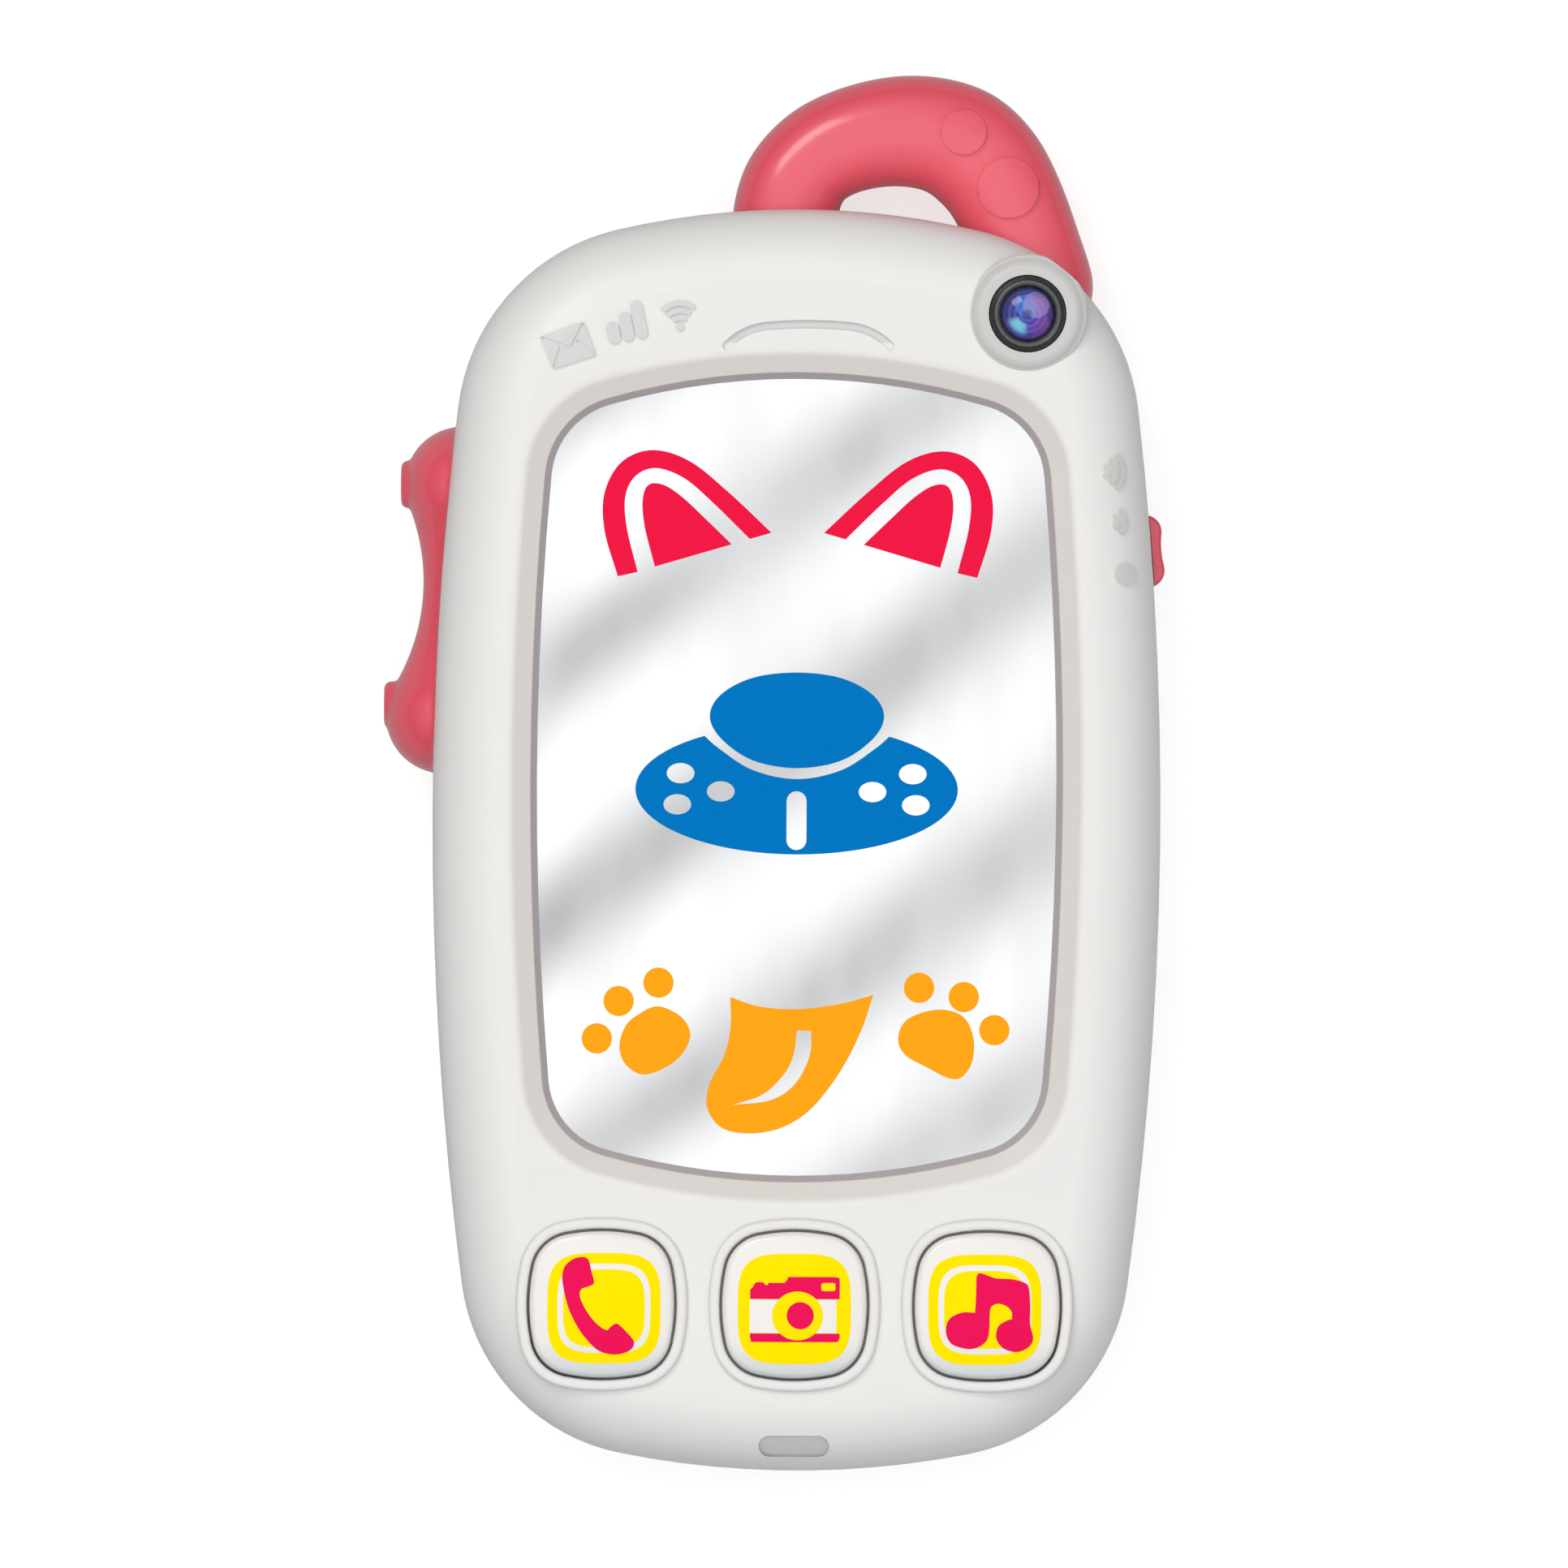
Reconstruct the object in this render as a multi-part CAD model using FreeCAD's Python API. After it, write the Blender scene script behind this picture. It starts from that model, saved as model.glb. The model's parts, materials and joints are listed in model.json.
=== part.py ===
import FreeCAD, Part
import math
import os
from FreeCAD import Matrix, Placement, Rotation, Vector

# Toy phone lying on its back. Units are millimetres.
# +Z points out of the screen, +Y towards the carrying handle, +X to the right of the screen.
# The origin is the centre of the flat back face.

X_AXIS = Vector(1, 0, 0)
Y_AXIS = Vector(0, 1, 0)
Z_AXIS = Vector(0, 0, 1)

# ---- case ---------------------------------------------------------------------------------

THICKNESS = 30.0          # flat back to flat front
PARTING_Z = 14.5          # where the two case halves meet
WALL = 2.2                # case wall
CEILING_Z = THICKNESS - WALL
FRONT_ROUND = 8.0         # edge rounding of the front
REAR_ROUND = 9.0          # edge rounding of the back
FIT_GAP = 0.12            # round a moulding that is clamped between the case halves
RUN_GAP = 0.3             # round a moulding that moves
SEAM_HALF_HEIGHT = 0.25
SEAM_DEPTH = 0.3
TONGUE_OUTER = 1.3        # depth of the locating tongue below the outer surface
TONGUE_INNER = 2.1
TONGUE_HEIGHT = 1.5

# Outlines are eight tangent arcs: an end arc, a corner and half a side, mirrored.
BODY = dict(half_width=40.4, widest_y=2.5, side_radius=390.0, top_y=70.0, top_radius=88.0, top_corner=23.0,
            bottom_y=-70.0, bottom_radius=100.0, bottom_corner=22.0)
WINDOW = dict(half_width=29.5, widest_y=6.5, side_radius=390.0, top_y=51.8, top_radius=76.0, top_corner=9.6,
              bottom_y=-37.9, bottom_radius=80.0, bottom_corner=9.3)
CAP = dict(half_width=8.0, widest_y=0.0, side_radius=20.0, top_y=8.1, top_radius=20.0, top_corner=4.5,
           bottom_y=-8.1, bottom_radius=20.0, bottom_corner=4.5)

# ---- mirror window ------------------------------------------------------------------------

BEZEL_WIDTH = 2.4         # shallow slope round the mirror
BEZEL_FOOT_Z = 29.1       # where the slope meets the steep edge
LIP_WIDTH = 0.75
LIP_FOOT_Z = 28.2
BEZEL_ROUND = 2.4
MIRROR_LAP = 2.5          # mirror hidden behind the frame
MIRROR_Z = 26.4
GASKET_Z = 25.9
RETAINER_Z = 24.4
RETAINER_RIM = 4.0
RETAINER_POSTS = ((-15.5, 55.5), (15.5, 55.5), (-27.5, -39.2), (27.5, -39.2))
EAR_RADIUS = 2.4

# ---- lens ---------------------------------------------------------------------------------

LENS_X = 25.3
LENS_Y = 58.3
LENS_RADIUS = 4.2
LENS_LIP_RADIUS = 3.05
LENS_SEAT_RADIUS = 3.7
LENS_FLANGE_RADIUS = 4.9
LENS_BOSS_FOOT = 6.9
LENS_BOSS_SHOULDER = 6.62
LENS_BOSS_SHOULDER_Z = 29.7
LENS_BOSS_TOP = 5.5
LENS_BOSS_ROUND = 1.0
LENS_BOSS_TOP_Z = 30.9
LENS_BOSS_FOOT_Z = 22.2
LENS_RING_TOP_Z = 31.3

# ---- buttons ------------------------------------------------------------------------------

BUTTON_X = {"phone": -21.3, "camera": 0.0, "music": 21.3}
BUTTON_Y = -51.4
COLLAR_WIDTH = 1.2
COLLAR_TOP_Z = 30.9
CAP_CROWN_Z = 32.0
CAP_CROWN_RADIUS = 40.0
CAP_SKIN = 1.6
FLANGE_LAP = 1.3
FLANGE_LOW_Z = 26.4
FLANGE_HIGH_Z = 27.5
STEM_RADIUS = 2.5

# ---- main board ---------------------------------------------------------------------------

BOARD_HIGH_Z = 19.2
BOARD_LOW_Z = 17.6
BOARD_TOP_Y = -41.0
BOARD_BOTTOM_Y = -60.2
BOARD_POSTS = ((-10.65, -43.4), (10.65, -43.4), (-32.6, -48.6), (32.6, -48.6))
BOARD_POST_RADIUS = 1.8
DOME_TOP_Z = 23.7
WIRE_Z = 16.0
WIRE_RADIUS = 0.45
WIRE_BEND = 1.2

# ---- battery bay and door -----------------------------------------------------------------

CELL_RADIUS = 5.2
CELL_BODY = 43.5
CELL_NUB = 1.0
CELL_X = 5.5
CELL_Z = 7.6
BAY_HALF_WIDTH = 11.2
BAY_TOP_Y = -3.5
BAY_BOTTOM_Y = -53.0
BAY_WALL = 2.4
BAY_CEILING_Z = 13.2
BAY_ROOF = 1.7
CONTACT_THICKNESS = 0.4
DOOR_HINGE_Y = -5.5
DOOR_HALF_WIDTH = 13.0
DOOR_END_Y = -54.5
DOOR_OUTER_Z = 0.25
DOOR_INNER_Z = 1.6
DOOR_SCREW_Y = -57.0
DOOR_EAR_RADIUS = 3.9
LEDGE_Z = 1.9

# ---- speaker ------------------------------------------------------------------------------

SPEAKER_Y = 36.0
SPEAKER_RADIUS = 14.0
SOUND_HOLE_RADIUS = 0.9
SOUND_HOLE_PITCH = 3.3

# ---- volume switch ------------------------------------------------------------------------

KNOB_MIDDLE_Y = 34.8      # knob centre half way along its travel
KNOB_TRAVEL = 5.0
KNOB_HALF_LENGTH = 4.05
KNOB_PROUD = 1.4
KNOB_LOBE = 1.9
KNOB_NECK = 1.6
KNOB_FLANGE_HALF = 7.6
SLOT_HALF_HEIGHT = 1.8
SWITCH_BOARD_Z = 10.9
SWITCH_BOARD_THICKNESS = 1.2

# ---- side grip ----------------------------------------------------------------------------

GRIP_UPPER = Vector(-37.35, 39.4, PARTING_Z)
GRIP_LOWER = Vector(-39.35, 13.65, PARTING_Z)
GRIP_BULB = 6.45
GRIP_NECK = 3.4
GRIP_DEPTH_SCALE = 1.25   # the bone is deeper than it is wide
GRIP_PAD_LOW_Y = 7.2
GRIP_PAD_HIGH_Y = 46.1
GRIP_PAD_HALF_DEPTH = 8.3
GRIP_PAD_CORNER = 5.0
NUBS = ((-44.2, 39.4), (-45.98, 14.8))
NUB_RADIUS = 2.65
NUB_ROUND = 0.7
GRIP_FLANGE = 1.2
GRIP_FLANGE_LAP = 0.8
GRIP_INNER_X = -34.2

# ---- handle -------------------------------------------------------------------------------

HANDLE_HALF_DEPTH = 5.8
HANDLE_CORNER_PULL = 1.05  # 0.707 gives a plain ellipse
# Outer and inner edge of the loop at each station, from the left foot round to the right foot.
HANDLE_STATIONS = (
    ((-7.4, 61.8), (4.0, 61.8)),
    ((-7.5, 66.0), (4.0, 66.2)),
    ((-7.2, 71.2), (4.6, 70.6)),
    ((-5.2, 76.6), (5.8, 71.8)),
    ((-0.2, 81.6), (7.8, 72.5)),
    ((7.0, 84.5), (10.3, 72.85)),
    ((14.2, 85.2), (12.6, 72.7)),
    ((21.2, 83.4), (14.3, 72.2)),
    ((26.2, 78.9), (15.6, 71.2)),
    ((29.2, 73.2), (16.9, 69.8)),
    ((31.2, 67.6), (18.2, 67.4)),
    ((32.9, 62.0), (19.6, 63.6)),
    ((31.8, 57.4), (21.4, 59.4)),
)
HANDLE_DISCS = ((18.25, 78.7, 2.5), (23.25, 72.5, 3.35))
HANDLE_DISC_TOP_Z = PARTING_Z + HANDLE_HALF_DEPTH + 0.3
HANDLE_DISC_ROUND = 0.15

# ---- screws and raised signs --------------------------------------------------------------

CASE_POSTS = ((-26.5, 55.5), (11.2, 61.8), (-35.4, -16.0), (35.4, -16.0), (-10.7, -63.6), (10.7, -63.6))
SIGN_HEIGHT = 0.4
SIGN_STROKE = 0.55
FOLD_WIDTH = 0.3
LETTER = ((-28.3, 55.4), (-23.9, 56.9), (-22.7, 53.7), (-27.0, 52.3))
LETTER_MIDDLE = (-25.2, 54.3)
LETTER_FOLD_LEFT = (-26.3, 54.45)
LETTER_FOLD_RIGHT = (-24.4, 55.05)
BAR_HEIGHTS = (1.1, 1.9, 2.9)
BAR_FOOT = (-20.35, 55.45)
BAR_STEP = (1.5, 0.3)
BAR_WIDTH = 1.35
BAR_LEAN = math.radians(101.5)
# Each fan is its centre, the radii of its arcs, and the angles between which they run.
SIGN_FANS = (
    (-13.1, 56.6, (1.1, 1.9, 2.7), 54, 136),
    (33.2, 40.9, (1.0, 1.9, 2.8), -42, 42),
    (34.3, 35.4, (1.0, 1.9), -42, 42),
)
SIGN_DOTS = ((-13.1, 56.7, 0.45), (36.3, 29.6, 1.2))
MICROPHONE = ((-2.7, -67.1), (2.7, -67.1))
MICROPHONE_WIDTH = 2.4
MARK_DEPTH = 0.6
EARPIECE_WIDTH = 0.95
EARPIECE_X = 1.1
EARPIECE_TOP_Y = 57.05
EARPIECE_RADIUS = 48.0
EARPIECE_END_RADIUS = 7.0
EARPIECE_TURN = 5.5      # degrees from the middle to where the ends bend down
EARPIECE_END_TURN = 47.0
BACK_MARGIN = 60.0        # half size of the blocks that split the case


# ---- outlines and simple solids -----------------------------------------------------------

def corner_centre(end_centre, end_radius, side_centre, side_radius, corner_radius):
    """Centre of the arc that touches an end arc and a side arc from inside them."""
    to_side = side_centre - end_centre
    distance = to_side.Length
    from_end = end_radius - corner_radius
    from_side = side_radius - corner_radius
    along = (from_end ** 2 - from_side ** 2 + distance ** 2) / (2 * distance)
    across = math.sqrt(from_end ** 2 - along ** 2)
    unit = to_side / distance
    normal = Vector(-unit.y, unit.x, 0)
    candidates = [end_centre + unit * along + normal * (sign * across) for sign in (1, -1)]
    return max(candidates, key=lambda point: point.x)


def right_half(shape, end, sign, grow):
    """Joints of one corner: middle of the end arc, end-to-corner, middle of the corner, corner-to-side."""
    side_centre = Vector(shape["half_width"] - shape["side_radius"], shape["widest_y"], 0)
    end_radius = shape[end + "_radius"]
    corner_radius = shape[end + "_corner"]
    end_centre = Vector(0, shape[end + "_y"] - sign * end_radius, 0)
    middle = corner_centre(end_centre, end_radius, side_centre, shape["side_radius"], corner_radius)
    from_end = (middle - end_centre).normalize()
    from_side = (middle - side_centre).normalize()
    outward = (from_end + from_side).normalize()
    return (Vector(0, shape[end + "_y"] + sign * grow, 0),
            end_centre + from_end * (end_radius + grow),
            middle + outward * (corner_radius + grow),
            side_centre + from_side * (shape["side_radius"] + grow))


def outline(shape, grow=0.0, z=0.0, centre=(0.0, 0.0)):
    """Closed wire of eight tangent arcs. grow moves it outwards, parallel to itself."""
    top_pole, top_end, top_corner, top_side = right_half(shape, "top", 1, grow)
    low_pole, low_end, low_corner, low_side = right_half(shape, "bottom", -1, grow)
    widest = Vector(shape["half_width"] + grow, shape["widest_y"], 0)

    def left(point):
        return Vector(-point.x, point.y, 0)

    arcs = (
        (left(top_end), top_pole, top_end),
        (top_end, top_corner, top_side),
        (top_side, widest, low_side),
        (low_side, low_corner, low_end),
        (low_end, low_pole, left(low_end)),
        (left(low_end), left(low_corner), left(low_side)),
        (left(low_side), left(widest), left(top_side)),
        (left(top_side), left(top_corner), left(top_end)),
    )
    wire = Part.Wire([Part.Arc(*arc).toShape() for arc in arcs])
    wire.translate(Vector(centre[0], centre[1], z))
    return wire


def slab(shape, grow, low_z, high_z, centre=(0.0, 0.0)):
    """Upright solid on an outline."""
    return Part.Face(outline(shape, grow, low_z, centre)).extrude(Vector(0, 0, high_z - low_z))


def block(low_x, high_x, low_y, high_y, low_z, high_z):
    return Part.makeBox(high_x - low_x, high_y - low_y, high_z - low_z, Vector(low_x, low_y, low_z))


def rod(x, y, low_z, high_z, radius):
    return Part.makeCylinder(radius, high_z - low_z, Vector(x, y, low_z))


def tube(x, y, low_z, high_z, inner, outer):
    return rod(x, y, low_z, high_z, outer).cut(rod(x, y, low_z, high_z, inner))


def union(shapes):
    return shapes[0].multiFuse(list(shapes[1:]))


def carve(solid, tools):
    """Cuts the tools away one after another."""
    for tool in tools:
        solid = solid.cut(tool)
    return solid


def edges_at_z(solid, z):
    """Edges that lie flat at one height."""
    tolerance = 1e-3
    return [edge for edge in solid.Edges
            if abs(edge.BoundBox.ZMin - z) < tolerance and abs(edge.BoundBox.ZMax - z) < tolerance]


def edges_on(solid, wire):
    """Edges that lie on a wire."""
    tolerance = 1e-3

    def on_wire(edge):
        middle = edge.valueAt((edge.FirstParameter + edge.LastParameter) / 2)
        points = [middle] + [vertex.Point for vertex in edge.Vertexes]
        return all(Part.Vertex(point).distToShape(wire)[0] < tolerance for point in points)

    return [edge for edge in solid.Edges if on_wire(edge)]


def body_solid(grow=0.0):
    """The outer case form, offset outwards by grow."""
    solid = slab(BODY, grow, -grow, THICKNESS + grow)
    solid = solid.makeFillet(FRONT_ROUND + grow, edges_at_z(solid, THICKNESS + grow))
    return solid.makeFillet(REAR_ROUND + grow, edges_at_z(solid, -grow))


def skin(outer_grow, inner_grow):
    """Layer of the case form between two offsets."""
    return body_solid(outer_grow).cut(body_solid(inner_grow))


def cable(points, bend, radius):
    """Round wire along straight runs joined by tangent arcs."""
    edges = []
    start = points[0]
    for here, after in zip(points[1:-1], points[2:]):
        into = (here - start).normalize()
        out = (after - here).normalize()
        turn = into.getAngle(out)
        setback = bend * math.tan(turn / 2)
        first = here - into * setback
        last = here + out * setback
        inward = (out - into).normalize()
        centre = here + inward * (bend / math.cos(turn / 2))
        edges.append(Part.LineSegment(start, first).toShape())
        edges.append(Part.Arc(first, centre - inward * bend, last).toShape())
        start = last
    edges.append(Part.LineSegment(start, points[-1]).toShape())
    heading = (points[1] - points[0]).normalize()
    section = Part.Wire([Part.Circle(points[0], heading, radius).toShape()])
    return Part.Wire(edges).makePipeShell([section], True, False)


def spring(x, z, start_y, length, direction, radius, wire_radius, turns):
    """Helical spring along Y from start_y."""
    height = length - 2 * wire_radius
    helix = Part.makeHelix(height / turns, height, radius)
    section = Part.Wire([Part.Circle(Vector(radius, 0, 0), Y_AXIS, wire_radius).toShape()])
    coil = Part.Wire(helix).makePipeShell([section], True, True)
    coil.rotate(Vector(0, 0, 0), X_AXIS, -90 * direction)
    coil.translate(Vector(x, start_y + direction * wire_radius, z))
    return coil


def pan_screw(x, y, head_low_z, head_height, head_radius, shank_tip_z, shank_radius):
    """Screw along Z with a cross recess in its head. The shank points up when the tip is above the head."""
    points_up = shank_tip_z > head_low_z
    head = rod(x, y, head_low_z, head_low_z + head_height, head_radius)
    outer_face = head_low_z if points_up else head_low_z + head_height
    head = head.makeFillet(head_height * 0.35, edges_at_z(head, outer_face))
    if points_up:
        shank = rod(x, y, head_low_z + head_height, shank_tip_z, shank_radius)
    else:
        shank = rod(x, y, shank_tip_z, head_low_z, shank_radius)
    arm = head_radius * 0.62
    half = head_radius * 0.14
    depth = head_height * 0.5
    low = outer_face - depth
    high = outer_face + depth
    cross = union([block(x - arm, x + arm, y - half, y + half, low, high),
                   block(x - half, x + half, y - arm, y + arm, low, high)])
    return head.fuse(shank).cut(cross)


def bone_face(start, along, side, span, bulb, neck):
    """Half of a bone outline: two bulbs joined by a hollow waist, closed by the line through their centres."""

    def at(distance, radius):
        return start + along * distance - side * radius

    half = span / 2
    hollow = (half ** 2 + neck ** 2 - bulb ** 2) / (2 * (bulb - neck))
    reach = bulb / (bulb + hollow)
    touch_along = half * reach
    touch_radius = (neck + hollow) * reach
    slant = bulb * math.sqrt(0.5)
    corners = (
        (at(-bulb, 0), at(-slant, slant), at(touch_along, touch_radius)),
        (at(touch_along, touch_radius), at(half, neck), at(span - touch_along, touch_radius)),
        (at(span - touch_along, touch_radius), at(span + slant, slant), at(span + bulb, 0)),
    )
    edges = [Part.Arc(*corner).toShape() for corner in corners]
    edges.append(Part.LineSegment(at(span + bulb, 0), at(-bulb, 0)).toShape())
    return Part.Face(Part.Wire(edges))


# ---- raised signs -------------------------------------------------------------------------

def stroke(points, width, low_z, high_z):
    """Upright ribbon with round ends through a chain of XY points."""
    parts = []
    radius = width / 2
    for (ax, ay), (bx, by) in zip(points, points[1:]):
        length = math.hypot(bx - ax, by - ay)
        bar = block(0, length, -radius, radius, low_z, high_z)
        bar.rotate(Vector(0, 0, 0), Z_AXIS, math.degrees(math.atan2(by - ay, bx - ax)))
        bar.translate(Vector(ax, ay, 0))
        parts.append(bar)
    parts.extend(rod(x, y, low_z, high_z, radius) for x, y in points)
    return union(parts)


def arc_band(x, y, radius, width, start_deg, end_deg, low_z, high_z):
    """Upright curved bar about a centre."""
    middle = math.radians((start_deg + end_deg) / 2)

    def wire_at(distance, angles):
        return [Vector(x + distance * math.cos(angle), y + distance * math.sin(angle), low_z) for angle in angles]

    angles = (math.radians(start_deg), middle, math.radians(end_deg))
    outer = wire_at(radius + width / 2, angles)
    inner = wire_at(radius - width / 2, angles)
    edges = [Part.Arc(*outer).toShape(), Part.LineSegment(outer[2], inner[2]).toShape(),
             Part.Arc(*reversed(inner)).toShape(), Part.LineSegment(inner[0], outer[0]).toShape()]
    return Part.Face(Part.Wire(edges)).extrude(Vector(0, 0, high_z - low_z))


def sign_prisms(low_z, high_z):
    """Letter, signal bars and wireless fan beside the earpiece; loudness marks beside the volume knob."""
    letter = list(LETTER)
    corners = [Vector(x, y, low_z) for x, y in letter + letter[:1]]
    sheet = Part.Face(Part.makePolygon(corners)).extrude(Vector(0, 0, high_z - low_z))
    sheet = union([sheet, stroke(letter + letter[:1], SIGN_STROKE, low_z, high_z)])
    flap = [letter[0], LETTER_MIDDLE, letter[1]]
    low_left = [letter[3], LETTER_FOLD_LEFT]
    low_right = [letter[2], LETTER_FOLD_RIGHT]
    folds = [stroke(line, FOLD_WIDTH, low_z, high_z) for line in (flap, low_left, low_right)]
    signs = [carve(sheet, folds)]
    for index, height in enumerate(BAR_HEIGHTS):
        foot_x = BAR_FOOT[0] + BAR_STEP[0] * index
        foot_y = BAR_FOOT[1] + BAR_STEP[1] * index
        head = (foot_x + height * math.cos(BAR_LEAN), foot_y + height * math.sin(BAR_LEAN))
        signs.append(stroke([(foot_x, foot_y), head], BAR_WIDTH, low_z, high_z))
    for x, y, radii, start, end in SIGN_FANS:
        signs += [arc_band(x, y, radius, SIGN_STROKE, start, end, low_z, high_z) for radius in radii]
    signs += [rod(x, y, low_z, high_z, radius) for x, y, radius in SIGN_DOTS]
    return signs


def raised_signs():
    layer = skin(SIGN_HEIGHT, -SIGN_STROKE)
    return [prism.common(layer) for prism in sign_prisms(PARTING_Z + 4, THICKNESS + 1)]


def earpiece_slot(low_z, high_z):
    """Flat arch: a long shallow arc with its ends bent down."""
    middle_y = EARPIECE_TOP_Y - EARPIECE_RADIUS
    parts = [arc_band(EARPIECE_X, middle_y, EARPIECE_RADIUS, EARPIECE_WIDTH,
                      90 - EARPIECE_TURN, 90 + EARPIECE_TURN, low_z, high_z)]
    inner = EARPIECE_RADIUS - EARPIECE_END_RADIUS
    turn = math.radians(EARPIECE_TURN)
    far = math.radians(EARPIECE_END_TURN)
    for side in (1, -1):
        x = EARPIECE_X + side * inner * math.sin(turn)
        y = middle_y + inner * math.cos(turn)
        angles = sorted((90 - side * EARPIECE_TURN, 90 - side * EARPIECE_END_TURN))
        parts.append(arc_band(x, y, EARPIECE_END_RADIUS, EARPIECE_WIDTH, *angles, low_z, high_z))
        parts.append(rod(x + side * EARPIECE_END_RADIUS * math.sin(far), y + EARPIECE_END_RADIUS * math.cos(far),
                         low_z, high_z, EARPIECE_WIDTH / 2))
    return union(parts)


def recessed_marks():
    """Earpiece groove and microphone dimple, cut to a constant depth below the surface."""
    layer = skin(SIGN_HEIGHT, -MARK_DEPTH)
    earpiece = earpiece_slot(PARTING_Z + 4, THICKNESS + 1)
    microphone = stroke(MICROPHONE, MICROPHONE_WIDTH, PARTING_Z + 4, THICKNESS + 1)
    return [earpiece.common(layer), microphone.common(layer)]


# ---- case halves --------------------------------------------------------------------------

def half_space(low_z, high_z):
    return block(-BACK_MARGIN, BACK_MARGIN, -1.5 * BACK_MARGIN, 1.5 * BACK_MARGIN, low_z, high_z)


def frustum(low_grow, low_z, high_grow, high_z):
    """Sloping band between two offsets of the window."""
    return Part.makeLoft([outline(WINDOW, low_grow, low_z), outline(WINDOW, high_grow, high_z)], True, True)


def window_cut():
    return union([
        slab(WINDOW, -LIP_WIDTH, CEILING_Z - WALL, LIP_FOOT_Z),
        frustum(-LIP_WIDTH, LIP_FOOT_Z, 0.0, BEZEL_FOOT_Z),
        frustum(0.0, BEZEL_FOOT_Z, BEZEL_WIDTH, THICKNESS),
        slab(WINDOW, BEZEL_WIDTH, THICKNESS, THICKNESS + WALL),
    ])


def front_blank():
    """Upper half of the hollow case with the mirror window."""
    shell = skin(0.0, -WALL).common(half_space(PARTING_Z, THICKNESS + WALL)).cut(window_cut())
    return shell.makeFillet(BEZEL_ROUND, edges_on(shell, outline(WINDOW, BEZEL_WIDTH, THICKNESS)))


def button_centre(name):
    return (BUTTON_X[name], BUTTON_Y)


def collar(centre):
    """Raised rim round one button."""
    ring = slab(CAP, RUN_GAP + COLLAR_WIDTH, CEILING_Z + 0.4, COLLAR_TOP_Z, centre)
    ring = ring.cut(slab(CAP, RUN_GAP, CEILING_Z, COLLAR_TOP_Z + 1, centre))
    return ring.makeFillet(COLLAR_WIDTH * 0.4, edges_at_z(ring, COLLAR_TOP_Z))


def lens_boss():
    """Raised round pad with a soft shoulder."""
    profile = ((0, LENS_BOSS_FOOT_Z), (LENS_BOSS_FOOT, LENS_BOSS_FOOT_Z),
               (LENS_BOSS_SHOULDER, LENS_BOSS_SHOULDER_Z), (LENS_BOSS_TOP, LENS_BOSS_TOP_Z), (0, LENS_BOSS_TOP_Z))
    outline_wire = Part.makePolygon([Vector(LENS_X + x, LENS_Y, z) for x, z in profile + profile[:1]])
    boss = Part.Face(outline_wire).revolve(Vector(LENS_X, LENS_Y, 0), Z_AXIS, 360)
    rims = edges_at_z(boss, LENS_BOSS_SHOULDER_Z) + edges_at_z(boss, LENS_BOSS_TOP_Z)
    boss = boss.makeFillet(LENS_BOSS_ROUND, rims)
    return boss.common(slab(BODY, 0.0, PARTING_Z, THICKNESS + WALL))


def lens_bores():
    return [rod(LENS_X, LENS_Y, PARTING_Z, THICKNESS + 5, LENS_RADIUS + 0.1),
            rod(LENS_X, LENS_Y, PARTING_Z, CEILING_Z - 0.6, LENS_FLANGE_RADIUS + 0.1)]


def front_shell(openings):
    inside = body_solid(-WALL / 2)
    shell = front_blank()
    posts = [rod(x, y, PARTING_Z, THICKNESS, 2.8) for x, y in CASE_POSTS]
    posts += [rod(x, y, BOARD_HIGH_Z, THICKNESS, BOARD_POST_RADIUS) for x, y in BOARD_POSTS]
    posts += [rod(x, y, GASKET_Z, CEILING_Z + 0.4, 1.9) for x, y in RETAINER_POSTS]
    added = [post.common(inside) for post in posts]
    added += [lens_boss()]
    added += [collar(button_centre(name)) for name in BUTTON_X]
    added += raised_signs()
    shell = shell.multiFuse(added)
    cuts = [slab(CAP, RUN_GAP, PARTING_Z, COLLAR_TOP_Z + 1, button_centre(name)) for name in BUTTON_X]
    cuts += lens_bores() + recessed_marks()
    cuts += [rod(x, y, PARTING_Z - 1, 24.0, 1.15) for x, y in CASE_POSTS]
    cuts += [rod(x, y, BOARD_LOW_Z, 25.0, 0.8) for x, y in BOARD_POSTS]
    cuts += [rod(x, y, RETAINER_Z, 28.8, 0.8) for x, y in RETAINER_POSTS]
    groove = slab(BODY, -TONGUE_OUTER + FIT_GAP, PARTING_Z, PARTING_Z + TONGUE_HEIGHT + FIT_GAP)
    cuts += [groove.cut(slab(BODY, -TONGUE_INNER - FIT_GAP - 0.1, PARTING_Z - 1, PARTING_Z + TONGUE_HEIGHT + 1))]
    return carve(shell.cut(cuts), [seam_groove()] + openings)


def seam_groove():
    outer = slab(BODY, 1.0, PARTING_Z - SEAM_HALF_HEIGHT, PARTING_Z + SEAM_HALF_HEIGHT)
    return outer.cut(slab(BODY, -SEAM_DEPTH, PARTING_Z - 1, PARTING_Z + 1))


def bay_additions():
    """Battery box and the boss of the door screw."""
    box = block(-BAY_HALF_WIDTH - BAY_WALL, BAY_HALF_WIDTH + BAY_WALL, BAY_BOTTOM_Y - BAY_WALL,
                BAY_TOP_Y + BAY_WALL, 1.0, BAY_CEILING_Z + BAY_ROOF)
    return [box, rod(0, DOOR_SCREW_Y, 1.0, 8.5, 5.0)]


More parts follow.
